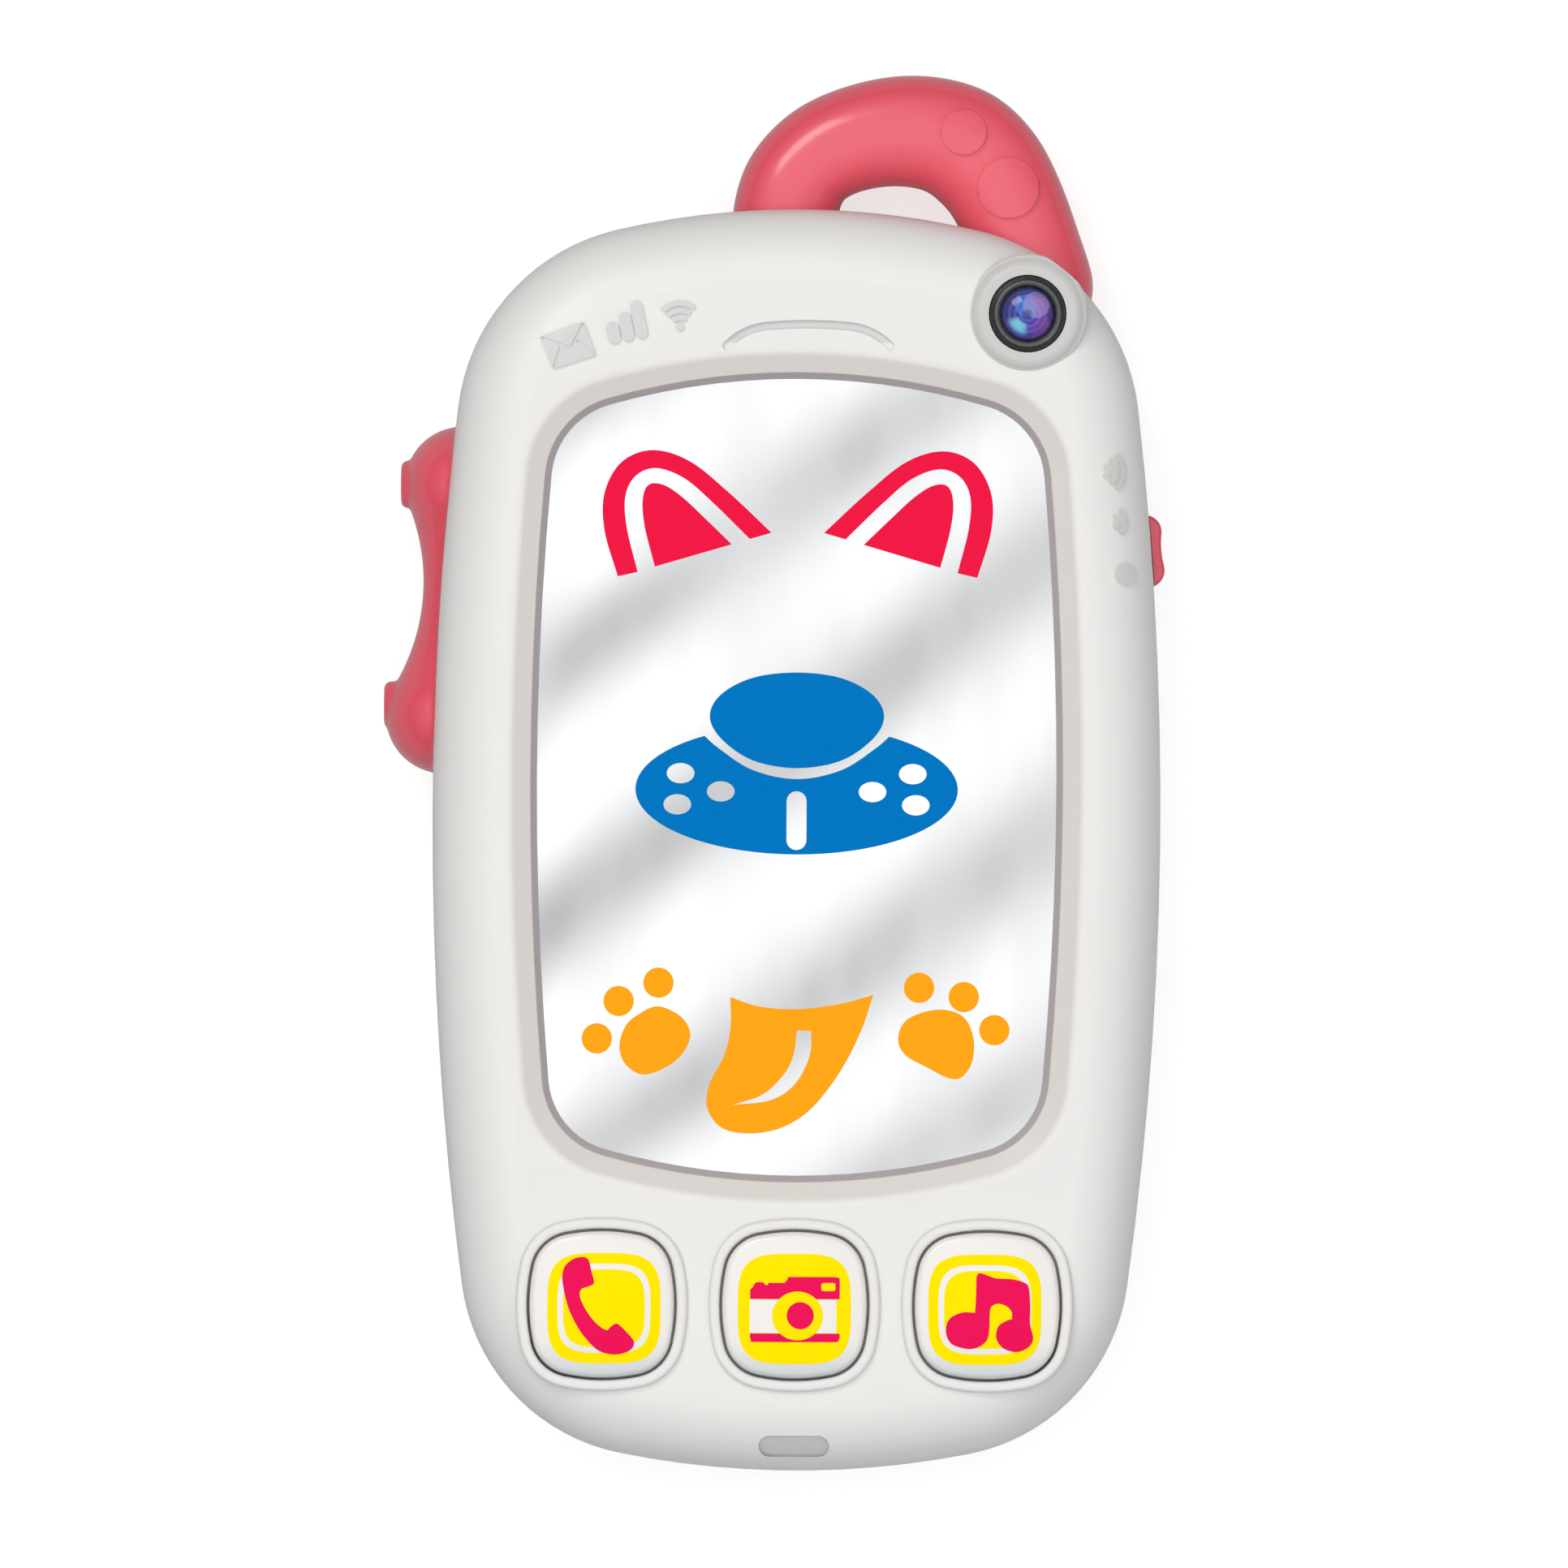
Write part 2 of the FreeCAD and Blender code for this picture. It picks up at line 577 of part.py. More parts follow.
def bay_cuts():
    cuts = [
        block(-BAY_HALF_WIDTH, BAY_HALF_WIDTH, BAY_BOTTOM_Y, BAY_TOP_Y, WALL, BAY_CEILING_Z),
        block(-BAY_HALF_WIDTH, BAY_HALF_WIDTH, BAY_BOTTOM_Y, DOOR_HINGE_Y, -1.0, WALL + 0.5),
        block(-DOOR_HALF_WIDTH - RUN_GAP, DOOR_HALF_WIDTH + RUN_GAP, DOOR_END_Y - RUN_GAP, DOOR_HINGE_Y,
              -1.0, LEDGE_Z),
        block(-DOOR_EAR_RADIUS - RUN_GAP, DOOR_EAR_RADIUS + RUN_GAP, DOOR_SCREW_Y, DOOR_END_Y, -1.0, LEDGE_Z),
        rod(0, DOOR_SCREW_Y, -1.0, LEDGE_Z, DOOR_EAR_RADIUS + RUN_GAP),
        rod(0, DOOR_SCREW_Y, -1.0, 3.4, 3.5),
        rod(0, DOOR_SCREW_Y, 3.0, 9.0, 1.75),
    ]
    for x in (-CELL_X, CELL_X):
        cuts.append(block(x - 1.6, x + 1.6, BAY_TOP_Y - 0.5, BAY_TOP_Y, BAY_CEILING_Z - 1,
                          BAY_CEILING_Z + BAY_ROOF + 1))
    return cuts


def sound_holes():
    """One hole in the middle and two rings of six and twelve."""
    centres = [(0.0, SPEAKER_Y)]
    for ring_index, count in ((1, 6), (2, 12)):
        for index in range(count):
            angle = 2 * math.pi * index / count
            reach = SOUND_HOLE_PITCH * ring_index
            centres.append((reach * math.cos(angle), SPEAKER_Y + reach * math.sin(angle)))
    return [rod(x, y, -1.0, WALL + 1, SOUND_HOLE_RADIUS) for x, y in centres]


def rear_shell(openings):
    inside = body_solid(-WALL / 2)
    shell = skin(0.0, -WALL).common(half_space(-1.0, PARTING_Z))
    tongue = slab(BODY, -TONGUE_OUTER, PARTING_Z - 1, PARTING_Z + TONGUE_HEIGHT)
    tongue = tongue.cut(slab(BODY, -TONGUE_INNER, PARTING_Z - 2, PARTING_Z + 2 * TONGUE_HEIGHT))
    added = [rod(x, y, 0.5, PARTING_Z, 3.6).common(inside) for x, y in CASE_POSTS]
    added += [tongue, tube(0, SPEAKER_Y, 1.0, 4.6, SPEAKER_RADIUS + 0.15, SPEAKER_RADIUS + 1.5)]
    added += bay_additions()
    added += [at_knob(rod(-9.0, y, 1.0 - PARTING_Z, SWITCH_BOARD_Z - PARTING_Z, 1.9)) for y in (-6.7, 6.7)]
    shell = shell.multiFuse(added)
    cuts = bay_cuts() + sound_holes()
    for x, y in CASE_POSTS:
        cuts += [rod(x, y, -1.0, 6.0, 2.8), rod(x, y, 5.0, PARTING_Z + 2 * TONGUE_HEIGHT, 1.5)]
    cuts += [at_knob(rod(-9.0, y, 6.0 - PARTING_Z, 0.0, 0.8)) for y in (-6.7, 6.7)]
    cuts += [tube(x, y, PARTING_Z, PARTING_Z + 2 * TONGUE_HEIGHT, 1.0, 3.0) for x, y in CASE_POSTS]
    return carve(shell.cut(cuts), [seam_groove()] + openings)


# ---- volume switch ------------------------------------------------------------------------

def at_knob(shape, slide=0.0):
    """Places a shape drawn in the switch frame: +X out of the wall, +Y along the travel, z = 0 at the parting."""
    angle = math.asin((KNOB_MIDDLE_Y - BODY["widest_y"]) / BODY["side_radius"])
    wall_x = BODY["half_width"] - BODY["side_radius"] * (1 - math.cos(angle))
    moved = shape.copy()
    moved.translate(Vector(0, slide, 0))
    frame = Placement(Vector(wall_x, KNOB_MIDDLE_Y, PARTING_Z), Rotation(Z_AXIS, math.degrees(angle)))
    moved.Placement = frame.multiply(moved.Placement)
    return moved


def volume_knob():
    """Two-lobed head outside the wall, neck through the slot, sliding plate and fork inside."""
    lobe_y = KNOB_HALF_LENGTH - KNOB_LOBE
    face = bone_face(Vector(KNOB_PROUD - KNOB_LOBE, -lobe_y, -3.5), Y_AXIS, -X_AXIS, 2 * lobe_y, KNOB_LOBE,
                     KNOB_LOBE - 0.2)
    head = face.extrude(Vector(0, 0, 7.0)).common(block(0.15, 3.0, -5.0, 5.0, -4.0, 4.0))
    rims = [edge for z in (-3.5, 3.5) for edge in edges_at_z(head, z) if edge.BoundBox.XMax > 0.5]
    head = head.makeFillet(0.45, rims)
    knob = union([
        head,
        block(-2.4, 0.4, -KNOB_NECK, KNOB_NECK, -1.5, 1.5),
        block(-3.55, -2.35, -KNOB_FLANGE_HALF, KNOB_FLANGE_HALF, -3.0, 3.0),
        block(-5.6, -3.5, 1.1, 2.3, -1.4, 1.4),
        block(-5.6, -3.5, -2.3, -1.1, -1.4, 1.4),
    ])
    return at_knob(knob, -KNOB_TRAVEL / 2)


def knob_slot():
    reach = KNOB_NECK + KNOB_TRAVEL / 2 + RUN_GAP
    return at_knob(block(-4.0, 1.0, -reach, reach, -SLOT_HALF_HEIGHT, SLOT_HALF_HEIGHT))


def switch_body():
    case = block(-11.2, -6.0, -4.6, 4.6, -2.4, 2.4)
    case = case.makeFillet(0.4, [edge for edge in case.Edges if edge.BoundBox.YLength > 5])
    return at_knob(case.cut(block(-8.5, -5.0, -3.8, 3.8, -1.3, 1.3)))


def switch_lever():
    return at_knob(block(-8.2, -4.0, -1.0, 1.0, -1.0, 1.0), -KNOB_TRAVEL / 2)


def switch_board():
    low = SWITCH_BOARD_Z - PARTING_Z
    board = block(-14.8, -4.2, -8.8, 8.8, low, low + SWITCH_BOARD_THICKNESS)
    holes = [rod(-9.0, y, low - 1, low + 3, 0.95) for y in (-6.7, 6.7)]
    return at_knob(board.cut(holes))


def switch_screws():
    low = SWITCH_BOARD_Z + SWITCH_BOARD_THICKNESS - PARTING_Z
    return Part.makeCompound([at_knob(pan_screw(-9.0, y, low, 1.1, 1.5, 6.5 - PARTING_Z, 0.8))
                              for y in (-6.7, 6.7)])


# ---- handle and side grip -----------------------------------------------------------------

def handle_section(outer, inner, grow):
    """Closed oval section standing on the line from the inner to the outer edge of the loop."""
    outer_point = Vector(outer[0], outer[1], PARTING_Z)
    inner_point = Vector(inner[0], inner[1], PARTING_Z)
    middle = (outer_point + inner_point) * 0.5
    half_width = (outer_point - inner_point).Length / 2 + grow
    half_depth = HANDLE_HALF_DEPTH + grow
    across = (outer_point - inner_point).normalize()
    normal = across.cross(Z_AXIS)
    stretch = Matrix(across.x * half_width, 0, normal.x, middle.x,
                     across.y * half_width, 0, normal.y, middle.y,
                     0, half_depth, 0, middle.z,
                     0, 0, 0, 1)
    return Part.Wire(unit_section().transformGeometry(stretch).Edges)


def unit_section():
    """Closed curve of half width 1, an ellipse pushed out towards the corners of its frame."""
    turn = ((1, 0), (1, 1), (0, 1), (-1, 1), (-1, 0), (-1, -1), (0, -1), (1, -1), (1, 0))
    poles = [Vector(x, y, 0) for x, y in turn]
    weights = [1.0 if index % 2 == 0 else HANDLE_CORNER_PULL for index in range(len(poles))]
    curve = Part.BSplineCurve()
    curve.buildFromPolesMultsKnots(poles, [3, 2, 2, 2, 3], [0, 1, 2, 3, 4], False, 2, weights)
    return Part.Wire([curve.toShape()])


def handle_loop(grow=0.0):
    return Part.makeLoft([handle_section(outer, inner, grow) for outer, inner in HANDLE_STATIONS], True, False)


def handle_feet():
    """Plates inside the case that stop the loop from being pulled out."""
    left = block(-8.8, 5.2, 64.9, 66.7, 8.3, 20.7)
    right = block(-6.8, 6.0, -0.9, 0.9, 8.3, 20.7)
    right.rotate(Vector(0, 0, 0), Z_AXIS, -12.0)
    right.translate(Vector(25.2, 58.6, 0))
    return [foot.makeFillet(3.0, [edge for edge in foot.Edges if is_short_upright(edge, foot)])
            for foot in (left, right)]


def is_short_upright(edge, foot):
    """True for the four thin edges across a foot plate."""
    return edge.Length < 2.0 and edge.BoundBox.ZLength < 1e-3


def handle():
    """Loop with its two raised discs and its feet."""
    discs = []
    for x, y, radius in HANDLE_DISCS:
        disc = rod(x, y, PARTING_Z, HANDLE_DISC_TOP_Z, radius)
        discs.append(disc.makeFillet(HANDLE_DISC_ROUND, edges_at_z(disc, HANDLE_DISC_TOP_Z)))
    return handle_loop().multiFuse(discs + handle_feet())


def bone():
    """The bone outline turned about the line between its bulbs and stretched in depth."""
    axis = GRIP_UPPER - GRIP_LOWER
    along = Vector(axis).normalize()
    side = Vector(along.y, -along.x, 0)
    face = bone_face(GRIP_LOWER, along, side, axis.Length, GRIP_BULB, GRIP_NECK)
    turned_bone = face.revolve(GRIP_LOWER, along, 360)
    stretch = Matrix(1, 0, 0, 0,
                     0, 1, 0, 0,
                     0, 0, GRIP_DEPTH_SCALE, PARTING_Z * (1 - GRIP_DEPTH_SCALE),
                     0, 0, 0, 1)
    return turned_bone.transformGeometry(stretch)


def grip_prism(grow, low_x, high_x):
    """Side view outline of the grip pad, as a prism through the left wall."""
    prism = block(low_x, high_x, GRIP_PAD_LOW_Y - grow, GRIP_PAD_HIGH_Y + grow,
                  PARTING_Z - GRIP_PAD_HALF_DEPTH - grow, PARTING_Z + GRIP_PAD_HALF_DEPTH + grow)
    corners = [edge for edge in prism.Edges if edge.BoundBox.XLength > 5]
    return prism.makeFillet(GRIP_PAD_CORNER + grow, corners)


def side_grip():
    core = body_solid(-WALL - GRIP_FLANGE)
    nubs = []
    for x, y in NUBS:
        nub = Part.makeCylinder(NUB_RADIUS, 7.0, Vector(x, y, PARTING_Z), X_AXIS)
        outer_edge = [edge for edge in nub.Edges if edge.BoundBox.XMax < x + 0.1 and edge.BoundBox.YLength > 1]
        nubs.append(nub.makeFillet(NUB_ROUND, outer_edge))
    pad = grip_prism(0.0, -48.0, GRIP_INNER_X)
    plate = pad.common(body_solid())
    flange = grip_prism(GRIP_FLANGE_LAP, -48.0, GRIP_INNER_X).common(body_solid(-WALL - 0.05))
    grip = bone().multiFuse([plate, flange] + nubs)
    return grip.cut(core)


def grip_opening():
    return grip_prism(FIT_GAP, -60.0, -30.0).cut(body_solid(-WALL))


# ---- mirror and lens ----------------------------------------------------------------------

def mirror_plate():
    return slab(WINDOW, MIRROR_LAP, MIRROR_Z, CEILING_Z)


def mirror_gasket():
    return slab(WINDOW, MIRROR_LAP, GASKET_Z, MIRROR_Z).cut(
        slab(WINDOW, -1.5, GASKET_Z - 1, MIRROR_Z + 1))


def mirror_retainer():
    frame = slab(WINDOW, MIRROR_LAP, RETAINER_Z, GASKET_Z)
    ears = []
    for x, y in RETAINER_POSTS:
        reach = 0.86 if abs(x) < 20 else 0.8
        ears.append(stroke([(x, y), (x * reach, y * reach)], 2 * EAR_RADIUS, RETAINER_Z, GASKET_Z))
    frame = frame.multiFuse(ears)
    holes = [slab(WINDOW, -RETAINER_RIM, RETAINER_Z - 1, GASKET_Z + 1)]
    holes += [rod(x, y, RETAINER_Z - 1, GASKET_Z + 1, 0.95) for x, y in RETAINER_POSTS]
    return frame.cut(holes)


def retainer_screws():
    return Part.makeCompound([pan_screw(x, y, RETAINER_Z - 1.1, 1.1, 1.7, 28.6, 0.8) for x, y in RETAINER_POSTS])


def lens_ring():
    ring = rod(LENS_X, LENS_Y, 26.0, LENS_RING_TOP_Z, LENS_RADIUS)
    ring = ring.makeFillet(0.5, edges_at_z(ring, LENS_RING_TOP_Z))
    ring = ring.fuse(rod(LENS_X, LENS_Y, 26.0, 27.1, LENS_FLANGE_RADIUS))
    funnel = Part.makeCone(LENS_LIP_RADIUS, LENS_LIP_RADIUS + 0.5, 0.6, Vector(LENS_X, LENS_Y, 30.9))
    return ring.cut([rod(LENS_X, LENS_Y, 20.0, 30.3, LENS_SEAT_RADIUS),
                     rod(LENS_X, LENS_Y, 30.0, 32.0, LENS_LIP_RADIUS), funnel])


def lens_dome():
    """Clear cap: a disc with a shallow crown that rises through the ring."""
    disc = rod(LENS_X, LENS_Y, 29.5, 30.25, LENS_SEAT_RADIUS - 0.05)
    crown_radius = LENS_LIP_RADIUS - 0.05
    rise = 0.75
    sphere_radius = (crown_radius ** 2 + rise ** 2) / (2 * rise)
    crown = Part.makeSphere(sphere_radius, Vector(LENS_X, LENS_Y, 30.25 + rise - sphere_radius))
    crown = crown.common(rod(LENS_X, LENS_Y, 30.0, 32.0, crown_radius + 0.04))
    return disc.fuse(crown)


def lens_disc():
    return rod(LENS_X, LENS_Y, 28.3, 29.45, LENS_SEAT_RADIUS - 0.05)


# ---- buttons ------------------------------------------------------------------------------

def button_cap(name):
    x, y = button_centre(name)
    cap = slab(CAP, 0.0, FLANGE_LOW_Z, CAP_CROWN_Z, (x, y))
    cap = cap.common(Part.makeSphere(CAP_CROWN_RADIUS, Vector(x, y, CAP_CROWN_Z - CAP_CROWN_RADIUS)))
    crown = max(cap.Faces, key=lambda face: face.CenterOfMass.z)
    cap = cap.makeFillet(0.75, crown.Edges)
    flange = slab(CAP, FLANGE_LAP, FLANGE_LOW_Z, FLANGE_HIGH_Z, (x, y)).common(body_solid(-WALL - RUN_GAP))
    hollow = slab(CAP, -CAP_SKIN, FLANGE_LOW_Z - 1, CAP_CROWN_Z - 2.4, (x, y))
    stem = rod(x, y, DOME_TOP_Z, CAP_CROWN_Z - 2.0, STEM_RADIUS)
    return cap.fuse(flange).cut(hollow).fuse(stem)


def rubber_dome(name):
    """Silicone spring: a flat foot, a thin conical web and a solid top."""
    x, y = button_centre(name)
    web_low = BOARD_HIGH_Z + 0.8
    web_high = DOME_TOP_Z - 0.9
    outer = union([rod(x, y, BOARD_HIGH_Z, web_low, 6.2),
                   Part.makeCone(5.2, 3.1, web_high - web_low, Vector(x, y, web_low)),
                   rod(x, y, web_high, DOME_TOP_Z, 3.1)])
    inner = union([rod(x, y, BOARD_HIGH_Z - 1, web_low, 4.6),
                   Part.makeCone(4.6, 2.5, web_high - web_low, Vector(x, y, web_low))])
    return outer.cut(inner)


# ---- board and its parts ------------------------------------------------------------------

def main_board():
    board = block(-BACK_MARGIN, BACK_MARGIN, BOARD_BOTTOM_Y, BOARD_TOP_Y, BOARD_LOW_Z, BOARD_HIGH_Z)
    board = board.common(slab(BODY, -WALL - 0.5, BOARD_LOW_Z - 1, BOARD_HIGH_Z + 1))
    return board.cut([rod(x, y, BOARD_LOW_Z - 1, BOARD_HIGH_Z + 1, 0.95) for x, y in BOARD_POSTS])


def board_screws():
    return Part.makeCompound([pan_screw(x, y, BOARD_LOW_Z - 1.2, 1.2, 1.8, 24.5, 0.8) for x, y in BOARD_POSTS])


def chip_blob():
    """Potted chip: a shallow round cap of resin under the board."""
    radius = 4.2
    rise = 1.4
    sphere_radius = (radius ** 2 + rise ** 2) / (2 * rise)
    sphere = Part.makeSphere(sphere_radius, Vector(-21.0, -51.0, BOARD_LOW_Z - rise + sphere_radius))
    return sphere.common(rod(-21.0, -51.0, BOARD_LOW_Z - 2, BOARD_LOW_Z, radius + 1))


def board_components():
    """Two capacitors, a row of resistors and a crystal on the underside."""
    solids = [rod(19.0, y, BOARD_LOW_Z - 4.5, BOARD_LOW_Z, 2.0) for y in (-46.5, -52.5)]
    solids += [block(x, x + 1.2, -57.0, -54.8, BOARD_LOW_Z - 0.6, BOARD_LOW_Z) for x in (-19, -16.5, 16, 24, 28)]
    solids.append(block(-30.5, -27.5, -55.0, -46.5, BOARD_LOW_Z - 2.2, BOARD_LOW_Z))
    return Part.makeCompound(solids)


# ---- speaker ------------------------------------------------------------------------------

def turned(profile, x, y):
    """Solid of revolution about an upright axis from (radius, z) points."""
    points = [Vector(x + radius, y, z) for radius, z in profile]
    return Part.Face(Part.makePolygon(points + points[:1])).revolve(Vector(x, y, 0), Z_AXIS, 360)


def speaker_frame():
    basket = turned([(12.6, WALL), (14.0, WALL), (14.0, 3.3), (13.3, 3.3), (9.4, 7.3), (9.4, 8.0), (2.4, 8.0),
                     (2.4, 7.3), (8.7, 7.3), (12.6, 3.4)], 0, SPEAKER_Y)
    return basket.fuse(block(-3.2, 3.2, 23.3, 27.6, 7.3, 8.0))


def speaker_cone():
    return turned([(12.55, 2.8), (12.55, 3.15), (11.0, 3.15), (4.0, 5.9), (0.0, 5.2), (0.0, 4.9), (3.9, 5.6),
                   (10.9, 2.8)], 0, SPEAKER_Y)


def speaker_magnet():
    magnet = rod(0, SPEAKER_Y, 8.0, 11.4, 7.5)
    return magnet.makeFillet(0.4, edges_at_z(magnet, 11.4))


# ---- batteries, contacts and door ---------------------------------------------------------

def battery_cell(x, from_y, direction):
    """AAA cell along Y with its nub pointing in the given direction."""
    axis = Vector(0, direction, 0)
    can = Part.makeCylinder(CELL_RADIUS, CELL_BODY, Vector(x, from_y, CELL_Z), axis)
    can = can.makeFillet(0.6, [edge for edge in can.Edges if edge.BoundBox.YLength < 1e-3])
    nub = Part.makeCylinder(1.9, CELL_BODY + CELL_NUB, Vector(x, from_y, CELL_Z), axis)
    return can.fuse(nub)


def contact_plate(low_x, high_x, face_y, direction):
    low_y, high_y = sorted((face_y, face_y - direction * CONTACT_THICKNESS))
    return block(low_x, high_x, low_y, high_y, 4.7, 12.2)


def dimple(x, face_y, direction):
    return Part.makeCone(2.6, 1.7, CELL_NUB, Vector(x, face_y, CELL_Z), Vector(0, direction, 0))


def contact_coil(x, face_y, direction):
    return spring(x, CELL_Z, face_y, 3.2, direction, 2.6, 0.35, 2.5)


def contact_bridge():
    face_y = BAY_BOTTOM_Y + CONTACT_THICKNESS
    plate = contact_plate(-9.6, 9.6, face_y, 1)
    return Part.makeCompound([plate.fuse(dimple(CELL_X, face_y, 1)), contact_coil(-CELL_X, face_y, 1)])


def contact_top(x):
    """Plate with a soldering tag that stands up through the roof of the bay."""
    face_y = BAY_TOP_Y - CONTACT_THICKNESS
    tag = block(x - 1.5, x + 1.5, face_y, BAY_TOP_Y, 12.0, WIRE_Z + 0.8)
    return contact_plate(x - 4.2, x + 4.2, face_y, -1).fuse(tag)


def contact_positive():
    return contact_top(-CELL_X).fuse(dimple(-CELL_X, BAY_TOP_Y - CONTACT_THICKNESS, -1))


def contact_negative():
    return Part.makeCompound([contact_top(CELL_X), contact_coil(CELL_X, BAY_TOP_Y - CONTACT_THICKNESS, -1)])


def battery_door():
    plate = block(-DOOR_HALF_WIDTH, DOOR_HALF_WIDTH, DOOR_END_Y, DOOR_HINGE_Y - RUN_GAP, DOOR_OUTER_Z, DOOR_INNER_Z)
    far_corners = [edge for edge in plate.Edges
                   if edge.BoundBox.XLength < 1e-3 and edge.BoundBox.YMax < DOOR_END_Y + 1e-3]
    plate = plate.makeFillet(1.5, far_corners)
    pieces = [
        block(-DOOR_EAR_RADIUS, DOOR_EAR_RADIUS, DOOR_SCREW_Y, DOOR_END_Y + 1, DOOR_OUTER_Z, DOOR_INNER_Z),
        rod(0, DOOR_SCREW_Y, DOOR_OUTER_Z, DOOR_INNER_Z, DOOR_EAR_RADIUS),
        rod(0, DOOR_SCREW_Y, DOOR_INNER_Z - 0.5, 2.6, 3.2),
        block(-0.6, 0.6, -50.0, -12.0, DOOR_INNER_Z - 0.5, 3.3),
    ]
    for low_x, high_x in ((-10.9, -9.5), (-1.5, 1.5), (9.5, 10.9)):
        pieces.append(block(low_x, high_x, -8.0, DOOR_HINGE_Y - RUN_GAP, DOOR_INNER_Z - 0.5, 3.7))
        pieces.append(block(low_x, high_x, -8.0, BAY_TOP_Y - RUN_GAP, WALL + RUN_GAP, 3.7))
    ribs = [block(-5.0, 5.0, y, y + 0.8, DOOR_OUTER_Z - 0.2, DOOR_OUTER_Z + 0.2) for y in (-12, -14, -16)]
    door = plate.multiFuse(pieces + ribs)
    return door.cut([rod(0, DOOR_SCREW_Y, -1.0, 1.55, 2.1), rod(0, DOOR_SCREW_Y, 1.0, 3.0, 1.15)])


def door_screw():
    return pan_screw(0, DOOR_SCREW_Y, 0.45, 1.1, 1.9, 6.3, 1.1)


def door_screw_ring():
    return tube(0, DOOR_SCREW_Y, 2.6, 3.05, 1.1, 1.9)


def case_screws():
    return Part.makeCompound([pan_screw(x, y, 4.6, 1.4, 2.3, 23.0, 1.15) for x, y in CASE_POSTS])


# ---- wires --------------------------------------------------------------------------------

def speaker_wires():
    cables = []
    for x in (-1.5, 1.5):
        route = [Vector(x, 24.6, 8.0), Vector(x, 24.6, WIRE_Z), Vector(x, -45.0, WIRE_Z),
                 Vector(x, -45.0, BOARD_LOW_Z)]
        cables.append(cable(route, WIRE_BEND, WIRE_RADIUS))
    return Part.makeCompound(cables)


def battery_wires():
    cables = []
    for x in (-CELL_X, CELL_X):
        route = [Vector(x, BAY_TOP_Y - CONTACT_THICKNESS, WIRE_Z), Vector(x, -45.0, WIRE_Z),
                 Vector(x, -45.0, BOARD_LOW_Z)]
        cables.append(cable(route, WIRE_BEND, WIRE_RADIUS))
    return Part.makeCompound(cables)


def switch_wires():
    cables = []
    board_top = SWITCH_BOARD_Z + SWITCH_BOARD_THICKNESS
    for x, start_y in ((25.1, 36.0), (26.4, 33.0)):
        route = [Vector(x, start_y, board_top), Vector(x, start_y, 14.8), Vector(x, -45.0, 14.8),
                 Vector(x, -45.0, BOARD_LOW_Z)]
        cables.append(cable(route, WIRE_BEND, WIRE_RADIUS))
    return Part.makeCompound(cables)


# ---- all pieces ---------------------------------------------------------------------------

def all_parts():
    openings = [handle_loop(FIT_GAP), grip_opening(), knob_slot()]
    parts = {
        "front_shell": front_shell(openings),
        "rear_shell": rear_shell(openings),
        "case_screws": case_screws(),
        "handle": handle(),
        "side_grip": side_grip(),
        "mirror_plate": mirror_plate(),
        "mirror_gasket": mirror_gasket(),
        "mirror_retainer": mirror_retainer(),
        "retainer_screws": retainer_screws(),
        "lens_ring": lens_ring(),
        "lens_dome": lens_dome(),
        "lens_disc": lens_disc(),
        "main_board": main_board(),
        "board_screws": board_screws(),
        "chip_blob": chip_blob(),
        "board_components": board_components(),
        "speaker_frame": speaker_frame(),
        "speaker_cone": speaker_cone(),
        "speaker_magnet": speaker_magnet(),
        "volume_knob": volume_knob(),
        "switch_lever": switch_lever(),
        "switch_body": switch_body(),
        "switch_board": switch_board(),
        "switch_screws": switch_screws(),
        "battery_cell_left": battery_cell(-CELL_X, -49.4, 1),
        "battery_cell_right": battery_cell(CELL_X, -7.1, -1),
        "contact_bridge": contact_bridge(),
        "contact_positive": contact_positive(),
        "contact_negative": contact_negative(),
        "battery_door": battery_door(),
        "door_screw": door_screw(),
        "door_screw_ring": door_screw_ring(),
        "speaker_wires": speaker_wires(),
        "battery_wires": battery_wires(),
        "switch_wires": switch_wires(),
    }
    for name in BUTTON_X:
        parts["button_cap_" + name] = button_cap(name)
        parts["rubber_dome_" + name] = rubber_dome(name)
    return parts


os.makedirs("parts", exist_ok=True)
for part_name, part_shape in all_parts().items():
    part_shape.exportStep("parts/" + part_name + ".step")
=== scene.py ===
import bmesh
import bpy
import json
import math
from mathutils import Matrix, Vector
from mathutils.geometry import delaunay_2d_cdt


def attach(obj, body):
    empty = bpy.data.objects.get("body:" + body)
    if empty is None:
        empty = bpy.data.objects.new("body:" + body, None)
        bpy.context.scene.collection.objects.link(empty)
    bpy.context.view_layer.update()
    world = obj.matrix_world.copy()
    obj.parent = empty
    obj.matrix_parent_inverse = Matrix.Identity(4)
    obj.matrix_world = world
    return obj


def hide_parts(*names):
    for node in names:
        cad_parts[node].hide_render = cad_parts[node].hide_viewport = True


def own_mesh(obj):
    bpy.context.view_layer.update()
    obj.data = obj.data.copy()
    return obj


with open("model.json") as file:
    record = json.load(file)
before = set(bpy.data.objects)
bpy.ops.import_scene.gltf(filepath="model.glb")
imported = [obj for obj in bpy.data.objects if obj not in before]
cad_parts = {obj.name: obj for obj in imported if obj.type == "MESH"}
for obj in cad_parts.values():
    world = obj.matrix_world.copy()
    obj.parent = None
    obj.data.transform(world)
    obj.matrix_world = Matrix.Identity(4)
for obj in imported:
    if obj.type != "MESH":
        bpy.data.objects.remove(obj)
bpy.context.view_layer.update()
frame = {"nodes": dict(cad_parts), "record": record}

MM = 0.001
NODES = frame["nodes"]

